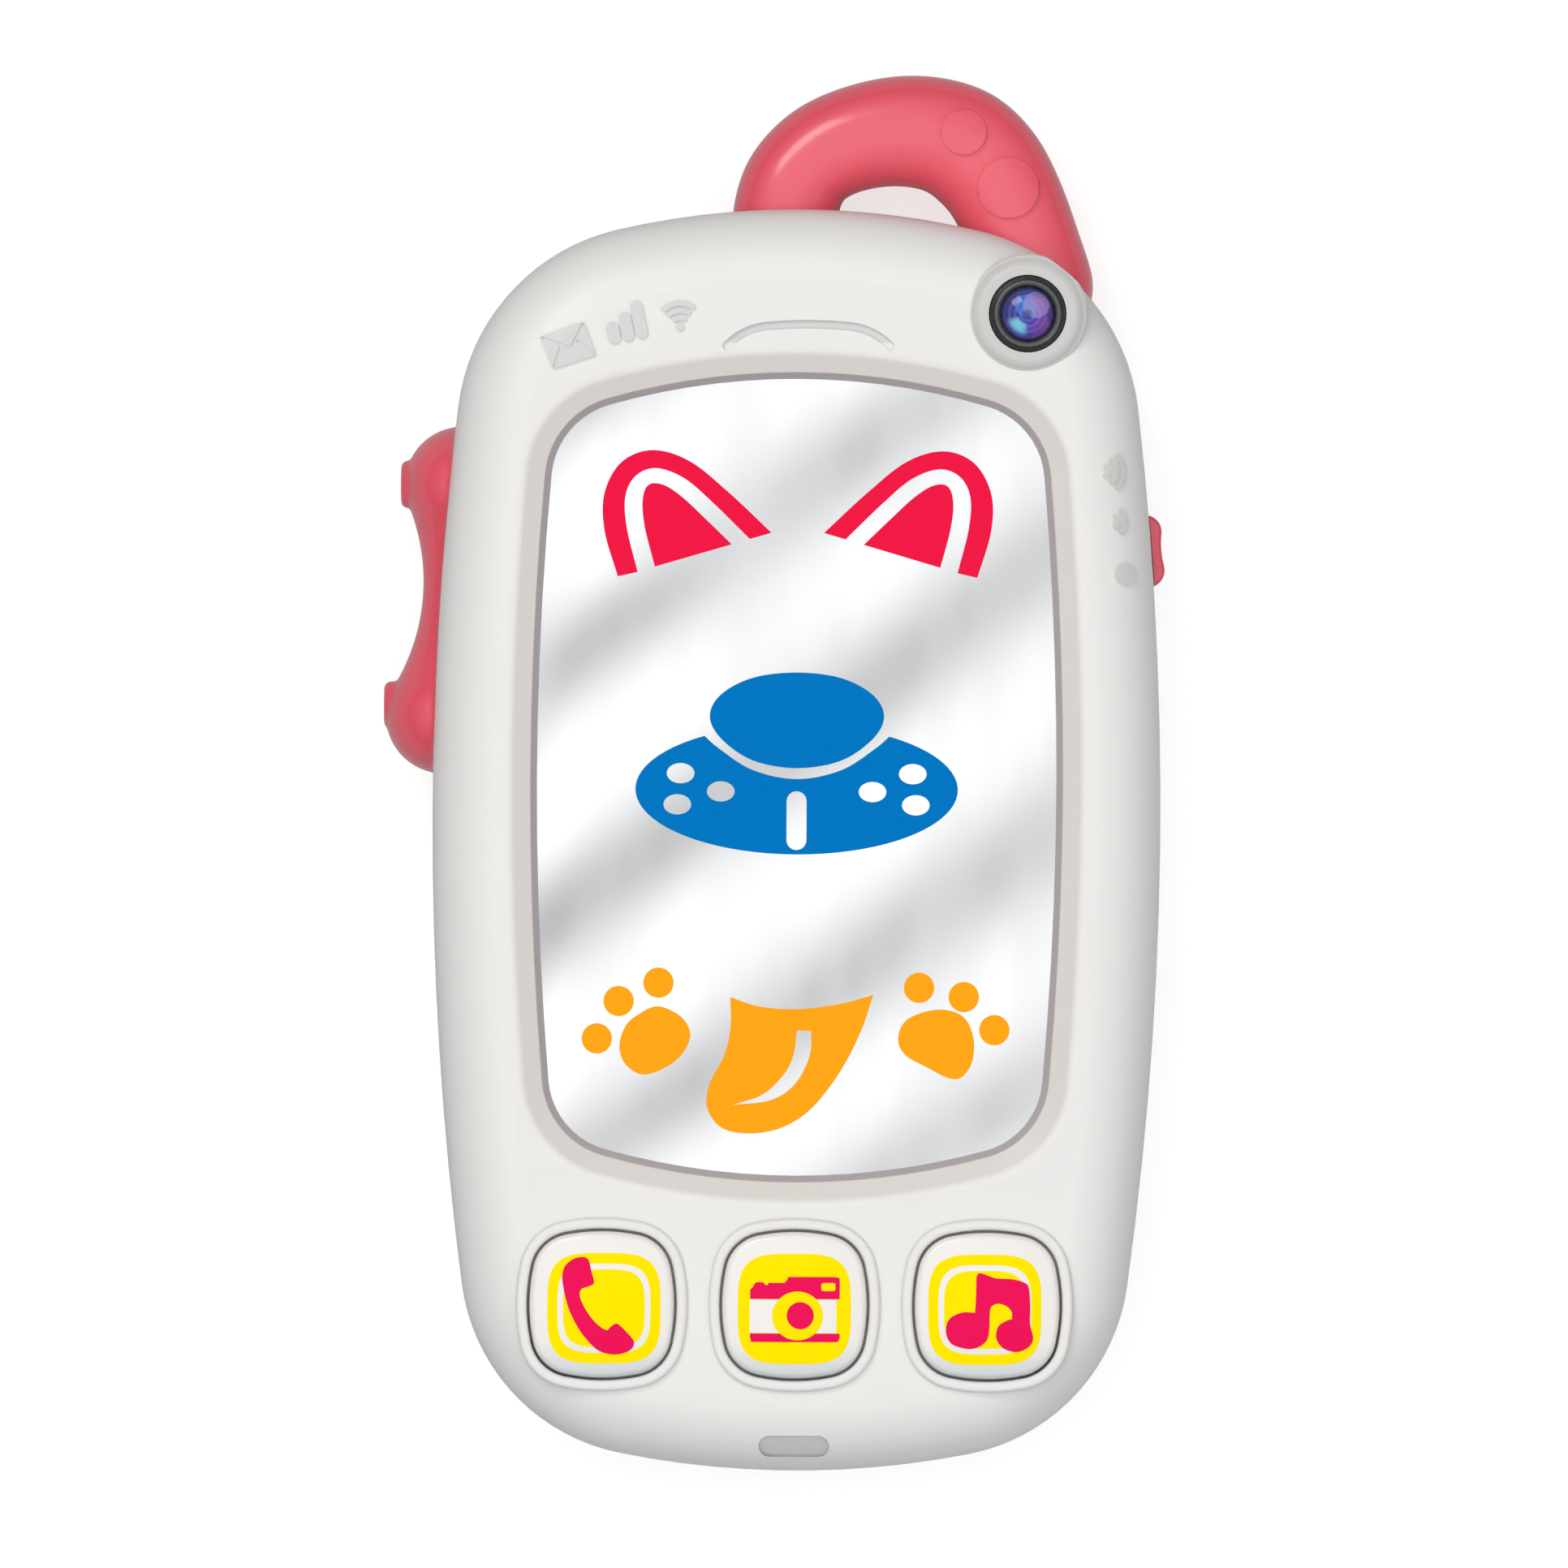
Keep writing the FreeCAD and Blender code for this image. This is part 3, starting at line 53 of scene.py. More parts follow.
BUTTON_Y = -51.4
BUTTON_X = {"phone": -21.3, "camera": 0.0, "music": 21.3}
CAP_CROWN_Z = 32.0
CAP_CROWN_RADIUS = 40.0
SCREEN_Z = 27.8
LENS = Vector((25.3, 58.3, 29.45))
WINDOW_MIDDLE_Y = 6.9
WINDOW_HALF_WIDTH = 32.3
WINDOW_HALF_HEIGHT = 48.2
WINDOW_SIDE_RADIUS = 390.0
WINDOW_LOW_Z = 27.0
FACING_IN = -0.004           # slope towards the middle that counts as the inner wall of the window
BEZEL_Z = (30.0, 29.72)      # heights between which the painted beige shade of the bezel band fades in
LIP_Z = (29.12, 28.95)       # heights between which the painted mauve shade of the lip fades in
RELIEF_LOW_Y = 51.0
RELIEF_Z = (30.02, 30.2)     # heights between which the painted grey shade of the raised signs fades in
RELIEF_HIGH_Z = 30.5
SIGNS_LOW_Z = 20.0
BOSS_RADIUS = 6.8
BOSS_FADE = 1.4
ARC_PITCH = 0.9
FIRST_ARC = 1.0
HIGH_MARK = (33.2, 40.9, 3.1)      # x, y and reach of the marks beside the slider
LOW_MARK = (34.3, 35.4, 2.2)
OFF_MARK = (36.3, 29.6, 1.2)
MICROPHONE = (67.1, 2.7, 1.2)      # distance below the middle, half length and half width
EARPIECE_LOW_Y = 55.0
EARPIECE_HIGH_Y = 60.0
EARPIECE_HALF_WIDTH = 14.0
EARPIECE_Z = (29.95, 29.6)
# Places along y between which the painted shade on the lower part of each cap fades in.
CAP_SHADE_Y = (BUTTON_Y - 3.5, BUTTON_Y - 8.0)
SPEAKER = (0.0, 36.0, 0.0)
SPEAKER_RIB = 1.1
LENS_ECHO = 0.62             # spacing of the faint rings in the lens print
RING_GROOVE = 0.28           # spacing of the turned grooves in the black ring
CELL_SLEEVE_Y = (-28.2, -27.9)
CELL_LOW_TIP_Y = (-49.6, -49.8)
CELL_HIGH_TIP_Y = (-7.2, -7.0)


# ---- colours ----

def colour(red, green, blue):
    """Linear RGBA of an 8-bit display colour."""
    def linear(level):
        share = level / 255
        return share / 12.92 if share <= 0.04045 else ((share + 0.055) / 1.055) ** 2.4
    return linear(red), linear(green), linear(blue), 1.0


CASE_WHITE = colour(229, 228, 226)
# Painted shade: the beige band and the mauve lip stand for shade on the white slope and lip round the mirror.
BEZEL_PAINTED_SHADE = colour(213, 207, 203)
LIP_PAINTED_SHADE = colour(178, 170, 172)
# Painted shade: grey on the raised signs, the loudness marks, the earpiece groove and the microphone slot.
RELIEF_PAINTED_SHADE = colour(209, 208, 207)
# Painted shade: grey over the lens boss, fading at its foot.
BOSS_PAINTED_SHADE = colour(200, 199, 197)
# Painted shade on the lower part of each button cap.
CAP_PAINTED_SHADE = colour(206, 211, 212)
PINK = colour(229, 84, 102)
PINK_DEEP = colour(222, 78, 95)
YELLOW = colour(255, 230, 0)
MAGENTA = colour(236, 20, 88)
EAR_RED = colour(236, 24, 68)
NOSE_BLUE = colour(0, 116, 190)
PAW_ORANGE = colour(250, 164, 22)
LENS_SWIRL = (
    (0.12, colour(26, 40, 150)), (0.32, colour(70, 24, 140)), (0.45, colour(30, 70, 190)),
    (0.6, colour(52, 40, 170)), (0.78, colour(130, 50, 170)), (0.95, colour(66, 20, 128)))


# ---- shader building ----

class Graph:
    """Short calls to add nodes to a tree."""

    def __init__(self, tree, place="Object"):
        self.tree = tree
        self.place = self.add("ShaderNodeTexCoord").outputs[place]

    def add(self, kind, **attributes):
        node = self.tree.nodes.new(kind)
        for key, value in attributes.items():
            setattr(node, key, value)
        return node

    def feed(self, node, index, source):
        """Links a socket, or sets a constant."""
        if isinstance(source, bpy.types.NodeSocket):
            self.tree.links.new(source, node.inputs[index])
        else:
            node.inputs[index].default_value = source

    def math(self, operation, first, second=0.0, third=0.0):
        node = self.add("ShaderNodeMath", operation=operation)
        for index, value in enumerate((first, second, third)):
            self.feed(node, index, value)
        return node.outputs[0]

    def vector(self, operation, first, second=(0.0, 0.0, 0.0)):
        node = self.add("ShaderNodeVectorMath", operation=operation)
        self.feed(node, 0, first)
        self.feed(node, 1, second)
        return node

    def axis(self, name, source=None):
        split = self.add("ShaderNodeSeparateXYZ")
        self.feed(split, 0, source or self.place)
        return split.outputs[name]

    def stretched(self, scale, turn=(0.0, 0.0, 0.0)):
        node = self.add("ShaderNodeMapping")
        self.feed(node, "Vector", self.place)
        self.feed(node, "Scale", scale)
        self.feed(node, "Rotation", turn)
        return node.outputs[0]

    def noise(self, size_mm, detail=3.0, source=None, distortion=0.0):
        node = self.add("ShaderNodeTexNoise")
        self.feed(node, "Vector", source or self.place)
        self.feed(node, "Scale", 1 / (size_mm * MM))
        self.feed(node, "Detail", detail)
        self.feed(node, "Distortion", distortion)
        return node.outputs["Fac"]

    def multiply(self, *shares):
        product = shares[0]
        for share in shares[1:]:
            product = self.math("MULTIPLY", product, share)
        return product

    def remap(self, source, low, high, to_low=0.0, to_high=1.0, smooth=False):
        node = self.add("ShaderNodeMapRange", interpolation_type="SMOOTHSTEP" if smooth else "LINEAR")
        for index, value in enumerate((source, low, high, to_low, to_high)):
            self.feed(node, index, value)
        return node.outputs[0]

    def ramp(self, source, stops):
        node = self.add("ShaderNodeValToRGB")
        elements = node.color_ramp.elements
        while len(elements) < len(stops):
            elements.new(1.0)
        for element, (position, value) in zip(elements, stops):
            element.position = position
            element.color = value
        self.feed(node, 0, source)
        return node.outputs[0]

    def fade(self, source, heights, smooth=False):
        """0 to 1 between two places in millimetres."""
        return self.remap(source, heights[0] * MM, heights[1] * MM, smooth=smooth)

    def mix(self, share, first, second):
        node = self.add("ShaderNodeMix", data_type="RGBA")
        self.feed(node, 0, share)
        self.feed(node, 6, first)
        self.feed(node, 7, second)
        return node.outputs[2]


class Shader(Graph):
    """A material with one Principled shader."""

    def __init__(self, name, **settings):
        self.material = bpy.data.materials.new(name)
        self.material.use_nodes = True
        super().__init__(self.material.node_tree)
        self.surface = self.tree.nodes["Principled BSDF"]
        for key, value in settings.items():
            self.surface.inputs[key.replace("_", " ")].default_value = value

    def bump(self, height, depth_mm):
        """Adds a bump of that depth on top of any before it."""
        node = self.add("ShaderNodeBump")
        self.feed(node, "Height", height)
        self.feed(node, "Strength", 1.0)
        self.feed(node, "Distance", depth_mm * MM)
        before = self.surface.inputs["Normal"]
        if before.is_linked:
            self.feed(node, "Normal", before.links[0].from_socket)
        self.tree.links.new(node.outputs[0], before)

    def paint(self, key, source):
        self.tree.links.new(source, self.surface.inputs[key])

    def patchy_gloss(self, size_mm, low, high):
        """Roughness that wanders between two values."""
        self.paint("Roughness", self.remap(self.noise(size_mm), 0.3, 0.7, low, high))


def tinted(shader, tone, spread, size_mm):
    """Colour that varies a little in large soft patches."""
    darker = tuple(level * (1 - spread) for level in tone[:3]) + (1.0,)
    return shader.mix(shader.noise(size_mm, 2.0), darker, tone)


def moulded(name, tone, roughness, spread=0.03, grain_mm=0.35, grain_depth=0.004):
    """Injection-moulded plastic: a fine eroded grain, slow flow ripples and patchy gloss."""
    shader = Shader(name)
    shader.paint("Base Color", tinted(shader, tone, spread, 14.0))
    shader.patchy_gloss(6.0, roughness - 0.05, roughness + 0.05)
    shader.bump(shader.noise(9.0, 1.0), 0.012)
    shader.bump(shader.noise(grain_mm, 2.0), grain_depth)
    return shader


def radius_from(shader, centre_mm):
    """Distance in millimetres from an upright axis."""
    offset = shader.vector("SUBTRACT", shader.place, tuple(value * MM for value in centre_mm))
    flat = shader.vector("MULTIPLY", offset.outputs[0], (1 / MM, 1 / MM, 0.0))
    return shader.vector("LENGTH", flat.outputs[0]).outputs["Value"], flat.outputs[0]


# ---- materials ----

def case_material():
    """Satin white shell, with painted shade in grey on the signs and the lens boss, and in beige and mauve on
    the band and lip round the mirror.
    """
    shader = moulded("case_plastic", CASE_WHITE, 0.42, 0.012, 0.3, 0.0035)
    height = shader.axis("Z")
    tone = shader.surface.inputs["Base Color"].links[0].from_socket
    # Painted shade: grey on the signs, marks, earpiece groove and microphone slot.
    tone = shader.mix(signs_shade_mask(shader, height), tone, RELIEF_PAINTED_SHADE)
    # Painted shade: grey over the lens boss.
    tone = shader.mix(boss_shade_mask(shader, height), tone, BOSS_PAINTED_SHADE)
    in_window = window_mask(shader, height)
    # Painted shade: a beige band on the slope round the mirror and a mauve one on its lip.
    for heights, shade in ((BEZEL_Z, BEZEL_PAINTED_SHADE), (LIP_Z, LIP_PAINTED_SHADE)):
        band = shader.multiply(shader.fade(height, heights, smooth=True), in_window)
        tone = shader.mix(band, tone, shade)
    shader.paint("Base Color", tone)
    return shader.material


def window_mask(shader, height):
    """1 on the walls round the mirror that face its middle."""
    from_middle = shader.vector("SUBTRACT", shader.place, (0.0, WINDOW_MIDDLE_Y * MM, 0.0)).outputs[0]
    across = shader.math("ABSOLUTE", shader.axis("X", from_middle))
    up = shader.axis("Y", from_middle)
    bowed = shader.math("MULTIPLY_ADD", shader.multiply(up, up), 1 / (2 * WINDOW_SIDE_RADIUS * MM), across)
    beside = shader.math("LESS_THAN", bowed, WINDOW_HALF_WIDTH * MM)
    along = shader.math("LESS_THAN", shader.math("ABSOLUTE", up), WINDOW_HALF_HEIGHT * MM)
    flat = shader.vector("MULTIPLY", from_middle, (1.0, 1.0, 0.0)).outputs[0]
    outward = shader.vector("NORMALIZE", flat).outputs[0]
    facing = shader.add("ShaderNodeNewGeometry").outputs["Normal"]
    slope = shader.vector("DOT_PRODUCT", outward, facing).outputs["Value"]
    inward = shader.math("LESS_THAN", slope, FACING_IN)
    raised = shader.math("GREATER_THAN", height, WINDOW_LOW_Z * MM)
    return shader.multiply(beside, along, inward, raised)


def signs_shade_mask(shader, height):
    """1 on the raised signs, the loudness marks, the earpiece and the microphone slot, which get painted grey
    shade.
    """
    relief = shader.multiply(shader.fade(height, RELIEF_Z),
                             shader.math("LESS_THAN", height, RELIEF_HIGH_Z * MM),
                             shader.math("GREATER_THAN", shader.axis("Y"), RELIEF_LOW_Y * MM))
    for mark in (sector_mask(shader, *HIGH_MARK), sector_mask(shader, *LOW_MARK), dot_mask(shader, *OFF_MARK),
                 earpiece_mask(shader, height), slot_mask(shader, *MICROPHONE)):
        relief = shader.math("MAXIMUM", relief, mark)
    return shader.multiply(relief, shader.math("GREATER_THAN", height, SIGNS_LOW_Z * MM))


def boss_shade_mask(shader, height):
    """1 on the round boss of the lens, fading at its foot, which gets painted grey shade."""
    from_lens, _ = radius_from(shader, LENS)
    near = shader.remap(from_lens, BOSS_RADIUS, BOSS_RADIUS - BOSS_FADE, smooth=True)
    return shader.multiply(near, shader.math("GREATER_THAN", height, SIGNS_LOW_Z * MM))


def sector_mask(shader, x, y, reach):
    """1 on the raised arcs of a loudness mark, which opens to the right."""
    radius, flat = radius_from(shader, (x, y, 0.0))
    ahead = shader.vector("DOT_PRODUCT", shader.vector("NORMALIZE", flat).outputs[0], (1.0, 0.0, 0.0))
    fan = shader.remap(ahead.outputs["Value"], 0.7, 0.74)
    turns = shader.math("MULTIPLY_ADD", radius, 2 * math.pi / ARC_PITCH, -2 * math.pi * FIRST_ARC / ARC_PITCH)
    arcs = shader.remap(shader.math("COSINE", turns), -0.5, -0.2)
    within = shader.multiply(shader.remap(radius, reach + 0.1, reach), shader.remap(radius, 0.6, 0.7))
    return shader.multiply(fan, arcs, within)


def dot_mask(shader, x, y, reach):
    """1 inside a round mark."""
    radius, _ = radius_from(shader, (x, y, 0.0))
    return shader.remap(radius, reach + 0.05, reach - 0.05)


def earpiece_mask(shader, height):
    """1 in the groove of the earpiece."""
    upper = shader.math("GREATER_THAN", shader.axis("Y"), EARPIECE_LOW_Y * MM)
    lower = shader.math("LESS_THAN", shader.axis("Y"), EARPIECE_HIGH_Y * MM)
    beside = shader.math("LESS_THAN", shader.math("ABSOLUTE", shader.axis("X")), EARPIECE_HALF_WIDTH * MM)
    return shader.multiply(upper, lower, beside, shader.fade(height, EARPIECE_Z))


def slot_mask(shader, below, half_length, half_width):
    """1 inside the level slot at the foot of the case."""
    past = shader.math("SUBTRACT", shader.math("ABSOLUTE", shader.axis("X")), half_length * MM)
    along = shader.math("MAXIMUM", past, 0.0)
    up = shader.math("ADD", shader.axis("Y"), below * MM)
    away = shader.math("SQRT", shader.math("ADD", shader.multiply(along, along), shader.multiply(up, up)))
    return shader.fade(away, (half_width + 0.05, half_width - 0.05))


def pink_material():
    """Glossy pink moulding whose tone drifts slowly from place to place."""
    shader = Shader("pink_plastic", Roughness=0.3, Coat_Weight=0.4, Coat_Roughness=0.12)
    shader.paint("Base Color", shader.mix(shader.noise(30.0, 0.0), PINK_DEEP, PINK))
    shader.bump(shader.noise(0.5, 1.0), 0.0008)
    return shader.material


def mirror_material():
    """Back-silvered acrylic: slightly wavy, with faint slanting wipe marks that are partly a painted reflection
    of streaky light.
    """
    shader = Shader("mirror_acrylic", Metallic=1.0)
    wipes_and_painted_streaks = shader.noise(16.0, 3.0, shader.stretched((1.0, 0.16, 1.0), (0.0, 0.0, math.radians(-58))))
    # The wipes also paint faint slanting streaks of reflection into the silver.
    silver = shader.ramp(wipes_and_painted_streaks, ((0.3, (0.9, 0.91, 0.92, 1)), (0.7, (0.96, 0.965, 0.97, 1))))
    shader.paint("Base Color", silver)
    shader.paint("Roughness", shader.remap(wipes_and_painted_streaks, 0.3, 0.7, 0.045, 0.025))
    shader.bump(shader.noise(40.0, 1.0), 0.01)
    return shader.material


def ink_material(name, tone):
    """Pad-printed ink: an even film with a fine mottle."""
    shader = Shader(name, Specular_IOR_Level=0.02)
    shader.paint("Base Color", tinted(shader, tone, 0.035, 0.9))
    shader.patchy_gloss(1.2, 0.4, 0.5)
    shader.bump(shader.noise(0.25, 2.0), 0.002)
    return shader.material


def button_material():
    """Pearly white cap, with painted shade on its lower part."""
    shader = moulded("button_plastic", colour(236, 232, 227), 0.3, 0.012, 0.4, 0.0015)
    plain = shader.surface.inputs["Base Color"].links[0].from_socket
    # Painted shade: the lower part of the cap turns a cool grey.
    lower = shader.fade(shader.axis("Y"), CAP_SHADE_Y, smooth=True)
    shader.paint("Base Color", shader.mix(lower, plain, CAP_PAINTED_SHADE))
    shader.feed(shader.surface, "Coat Weight", 0.3)
    shader.feed(shader.surface, "Coat Roughness", 0.15)
    return shader.material


def clear_material():
    """Thin polished cover: clear, with a gloss that grows towards grazing angles."""
    shader = Shader("lens_cover")
    gloss = shader.add("ShaderNodeBsdfGlossy")
    shader.feed(gloss, "Roughness", 0.03)
    sheen = shader.add("ShaderNodeFresnel")
    shader.feed(sheen, "IOR", 1.45)
    cover = shader.add("ShaderNodeMixShader")
    shader.feed(cover, 0, sheen.outputs[0])
    shader.feed(cover, 1, shader.add("ShaderNodeBsdfTransparent").outputs[0])
    shader.feed(cover, 2, gloss.outputs[0])
    shader.feed(shader.tree.nodes["Material Output"], "Surface", cover.outputs[0])
    shader.tree.nodes.remove(shader.surface)
    return shader.material


def lens_print_material():
    """Printed coating pattern: violet over deep blue, a cyan crescent and a pale overlapping disc."""
    shader = Shader("lens_print", Roughness=0.4, Specular_IOR_Level=0.05)
    radius, flat = radius_from(shader, LENS)
    slant = shader.vector("DOT_PRODUCT", flat, (0.62, -0.1, 0.0)).outputs["Value"]
    swirl = shader.math("ADD", slant, shader.remap(shader.noise(1.6, 2.0, distortion=1.5), 0.3, 0.7, -0.9, 0.9))
    base = shader.ramp(shader.remap(swirl, -2.2, 2.2), LENS_SWIRL)
    crescent = shader.multiply(crescent_mask(shader, radius, flat), 0.9)
    base = shader.mix(crescent, base, colour(120, 214, 238))
    blue = shader.multiply(disc_mask(shader, flat, (-0.15, 0.9), 1.25), 0.55)
    base = shader.mix(blue, base, colour(44, 130, 226))
    pale = shader.multiply(disc_mask(shader, flat, (0.95, 1.0), 1.5), 0.36)
    base = shader.mix(pale, base, colour(206, 176, 226))
    echo = shader.math("SINE", shader.multiply(radius, 2 * math.pi / LENS_ECHO))
    base = shader.mix(shader.remap(echo, 0.2, 1.0, 0.0, 0.16), base, colour(150, 190, 240))
    pupil = shader.remap(radius, 0.2, 0.75, 0.7, 0.0, smooth=True)
    base = shader.mix(pupil, base, colour(16, 34, 84))
    rim = shader.remap(radius, 2.5, 3.0, smooth=True)
    shader.paint("Base Color", shader.mix(rim, base, colour(22, 12, 58)))
    shader.bump(echo, 0.01)
    return shader.material


def disc_mask(shader, flat, centre, size):
    """1 inside a soft-edged disc, in millimetres from the lens axis."""
    offset = shader.vector("SUBTRACT", flat, (centre[0], centre[1], 0.0))
    away = shader.vector("LENGTH", offset.outputs[0]).outputs["Value"]
    return shader.remap(away, size - 0.08, size, 1.0, 0.0, smooth=True)


def crescent_mask(shader, radius, flat):
    """Bright arc in the lower left of the lens."""
    towards = shader.vector("DOT_PRODUCT", shader.vector("NORMALIZE", flat).outputs[0], (-0.62, -0.78, 0.0))
    facing = shader.remap(towards.outputs["Value"], 0.72, 0.98, smooth=True)
    inner = shader.remap(radius, 0.9, 1.3, smooth=True)
    outer = shader.remap(radius, 1.9, 2.6, 1.0, 0.0, smooth=True)
    return shader.multiply(facing, inner, outer)


def lens_ring_material():
    """Black ring with turned grooves, and a painted grey sheen on its inner slope."""
    shader = Shader("black_plastic")
    radius, _ = radius_from(shader, LENS)
    groove = shader.math("SINE", shader.multiply(radius, 2 * math.pi / RING_GROOVE))
    black = shader.ramp(shader.noise(0.3, 2.0), ((0.3, colour(12, 13, 14)), (0.8, colour(30, 32, 32))))
    # Painted sheen: the inner slope of the ring turns grey.
    slope = shader.multiply(shader.remap(radius, 3.1, 3.25, smooth=True),
                            shader.remap(radius, 3.55, 3.7, 1.0, 0.0, smooth=True))
    shader.paint("Base Color", shader.mix(slope, black, colour(84, 86, 86)))
    shader.patchy_gloss(0.6, 0.22, 0.4)
    shader.bump(shader.remap(groove, -1.0, 1.0), 0.03)
    shader.bump(shader.noise(0.12, 2.0), 0.004)
    return shader.material


def metal_material(name, tone, roughness, brushed=(1.0, 1.0, 1.0), grain_mm=0.3):
    """Plated metal with fine drawing lines and dull patches."""
    shader = Shader(name, Metallic=1.0)
    lines = shader.noise(grain_mm, 3.0, shader.stretched(brushed))
    shader.paint("Base Color", tinted(shader, tone, 0.12, 2.5))
    shader.paint("Roughness", shader.remap(lines, 0.3, 0.7, roughness - 0.08, roughness + 0.12))
    shader.bump(lines, 0.004)
    return shader.material


def rubber_material():
    """Translucent silicone with a dusting of talc."""
    shader = Shader("silicone", Subsurface_Weight=0.15, Subsurface_Scale=0.002)
    shader.paint("Base Color", tinted(shader, colour(206, 208, 204), 0.08, 1.5))
    shader.patchy_gloss(0.8, 0.5, 0.7)
    shader.bump(shader.noise(0.15, 3.0), 0.006)
    return shader.material


def board_material():
    """Green solder mask over etched tracks, woven glass beneath."""
    shader = Shader("board_laminate")
    tracks = shader.add("ShaderNodeTexBrick", offset=0.5)
    shader.feed(tracks, "Vector", shader.stretched((1.0, 1.0, 0.0)))
    shader.feed(tracks, "Scale", 1 / (2.4 * MM))
    shader.feed(tracks, "Mortar Size", 0.09)
    shader.feed(tracks, "Mortar Smooth", 0.3)
    shader.paint("Base Color", shader.mix(tracks.outputs["Fac"], colour(24, 98, 60), colour(46, 132, 84)))
    shader.patchy_gloss(1.0, 0.28, 0.4)
    shader.bump(tracks.outputs["Fac"], 0.03)
    return shader.material


def foam_material():
    """Open-cell foam tape."""
    shader = Shader("foam")
    cells = shader.add("ShaderNodeTexVoronoi")
    shader.feed(cells, "Vector", shader.place)
    shader.feed(cells, "Scale", 1 / (0.35 * MM))
    tone = shader.ramp(cells.outputs["Distance"], ((0.1, colour(46, 46, 48)), (0.6, colour(96, 96, 98))))
    shader.paint("Base Color", tone)
    shader.feed(shader.surface, "Roughness", 0.9)
    shader.bump(cells.outputs["Distance"], 0.12)
    return shader.material


def film_material():
    """Pressed speaker film with concentric ribs."""
    shader = Shader("speaker_film")
    radius, _ = radius_from(shader, SPEAKER)
    ribs = shader.math("SINE", shader.multiply(radius, 2 * math.pi / SPEAKER_RIB))
    shader.paint("Base Color", tinted(shader, colour(188, 176, 150), 0.1, 3.0))
    shader.patchy_gloss(1.0, 0.35, 0.5)
    shader.bump(shader.remap(ribs, -1.0, 1.0), 0.08)
    return shader.material


def cell_material():
    """Plain battery sleeve: a dark band with a coloured end, bare metal at both tips."""
    shader = Shader("cell_wrap")
    along = shader.axis("Y")
    sleeve = shader.mix(shader.fade(along, CELL_SLEEVE_Y), colour(196, 120, 40), colour(34, 36, 42))
    tip = shader.math("MAXIMUM", shader.fade(along, CELL_LOW_TIP_Y), shader.fade(along, CELL_HIGH_TIP_Y))
    shader.paint("Base Color", shader.mix(tip, sleeve, colour(196, 196, 192)))
    shader.paint("Metallic", tip)
    shader.patchy_gloss(2.0, 0.24, 0.36)
    shader.bump(shader.noise(5.0, 1.0), 0.03)
    return shader.material


def wire_material():
    """Soft PVC sleeve."""
    shader = Shader("wire_sleeve")
    shader.paint("Base Color", tinted(shader, colour(176, 40, 38), 0.1, 2.0))
    shader.patchy_gloss(0.8, 0.4, 0.55)
    shader.bump(shader.noise(0.4, 2.0), 0.01)
    return shader.material


STEEL = (0.62, 0.61, 0.6, 1.0)
MATERIALS = {
    "case_plastic": case_material(),
    "pink_plastic": pink_material(),
    "mirror_acrylic": mirror_material(),
    "foam": foam_material(),
    "inner_plastic": moulded("inner_plastic", colour(206, 206, 204), 0.5).material,
    "screw_steel": metal_material("screw_steel", STEEL, 0.28, (1.0, 1.0, 0.2), 0.2),
    "black_plastic": lens_ring_material(),
    "clear_plastic": clear_material(),
    "lens_print": lens_print_material(),
    "button_plastic": button_material(),
    "silicone": rubber_material(),
    "board_laminate": board_material(),
    "chip_resin": moulded("chip_resin", colour(22, 22, 24), 0.35, 0.2).material,
    "component_body": moulded("component_body", colour(92, 78, 60), 0.45, 0.3).material,
    "speaker_steel": metal_material("speaker_steel", STEEL, 0.35),
    "speaker_film": film_material(),
    "magnet": metal_material("magnet", (0.5, 0.5, 0.52, 1.0), 0.3),
    "switch_metal": metal_material("switch_metal", STEEL, 0.3, (0.2, 1.0, 1.0)),
    "cell_wrap": cell_material(),
    "contact_metal": metal_material("contact_metal", (0.76, 0.75, 0.7, 1.0), 0.24, (1.0, 0.15, 1.0)),
    "wire_sleeve": wire_material(),
}


def dress_cad_nodes():
    """Gives each CAD node the material of its own slot."""
    slots = {part["node"]: part["material_slot"] for part in frame["record"]["subparts"]}
    for name, node in NODES.items():
        node.data.materials.clear()
        node.data.materials.append(MATERIALS[slots[name]])


dress_cad_nodes()


# ---- printed shapes ----

INK_FILM = 0.04
INK_LIFT = 0.03


def between(before, start, end, after, steps):
    """Points of a smooth curve from start towards end, bent by the points on either side."""
    run = []
    for step in range(steps):
        share = step / steps
        run.append((start * 2 + (end - before) * share
                    + (before * 2 - start * 5 + end * 4 - after) * share ** 2
                    + (start * 3 - before - end * 3 + after) * share ** 3) / 2)
    return run


def through(points, steps=8):
    """Smooth open run through the points, with its first and last point kept."""
    ends = [points[0] * 2 - points[1]] + list(points) + [points[-1] * 2 - points[-2]]
    run = []
    for four in zip(ends, ends[1:], ends[2:], ends[3:]):
        run += between(*four, steps)
    return run + [points[-1]]


def outline(*runs):
    """Closed loop of smooth runs that meet at corners. Each run starts at its own first point."""
    loop = []
    for index, run in enumerate(runs):
        following = runs[(index + 1) % len(runs)][0]
        loop += through([Vector(point) for point in (*run, following)])[:-1]
    return loop


def ring_of(points, steps=6):
    """Closed smooth loop through the points."""
    count = len(points)
    loop = []
    for index in range(count):
        four = [Vector(points[(index + offset) % count]) for offset in (-1, 0, 1, 2)]
        loop += between(*four, steps)
    return loop


def ellipse(x, y, half_width, half_height, count=40):
    return [Vector((x + half_width * math.cos(turn), y + half_height * math.sin(turn)))
            for turn in (2 * math.pi * index / count for index in range(count))]


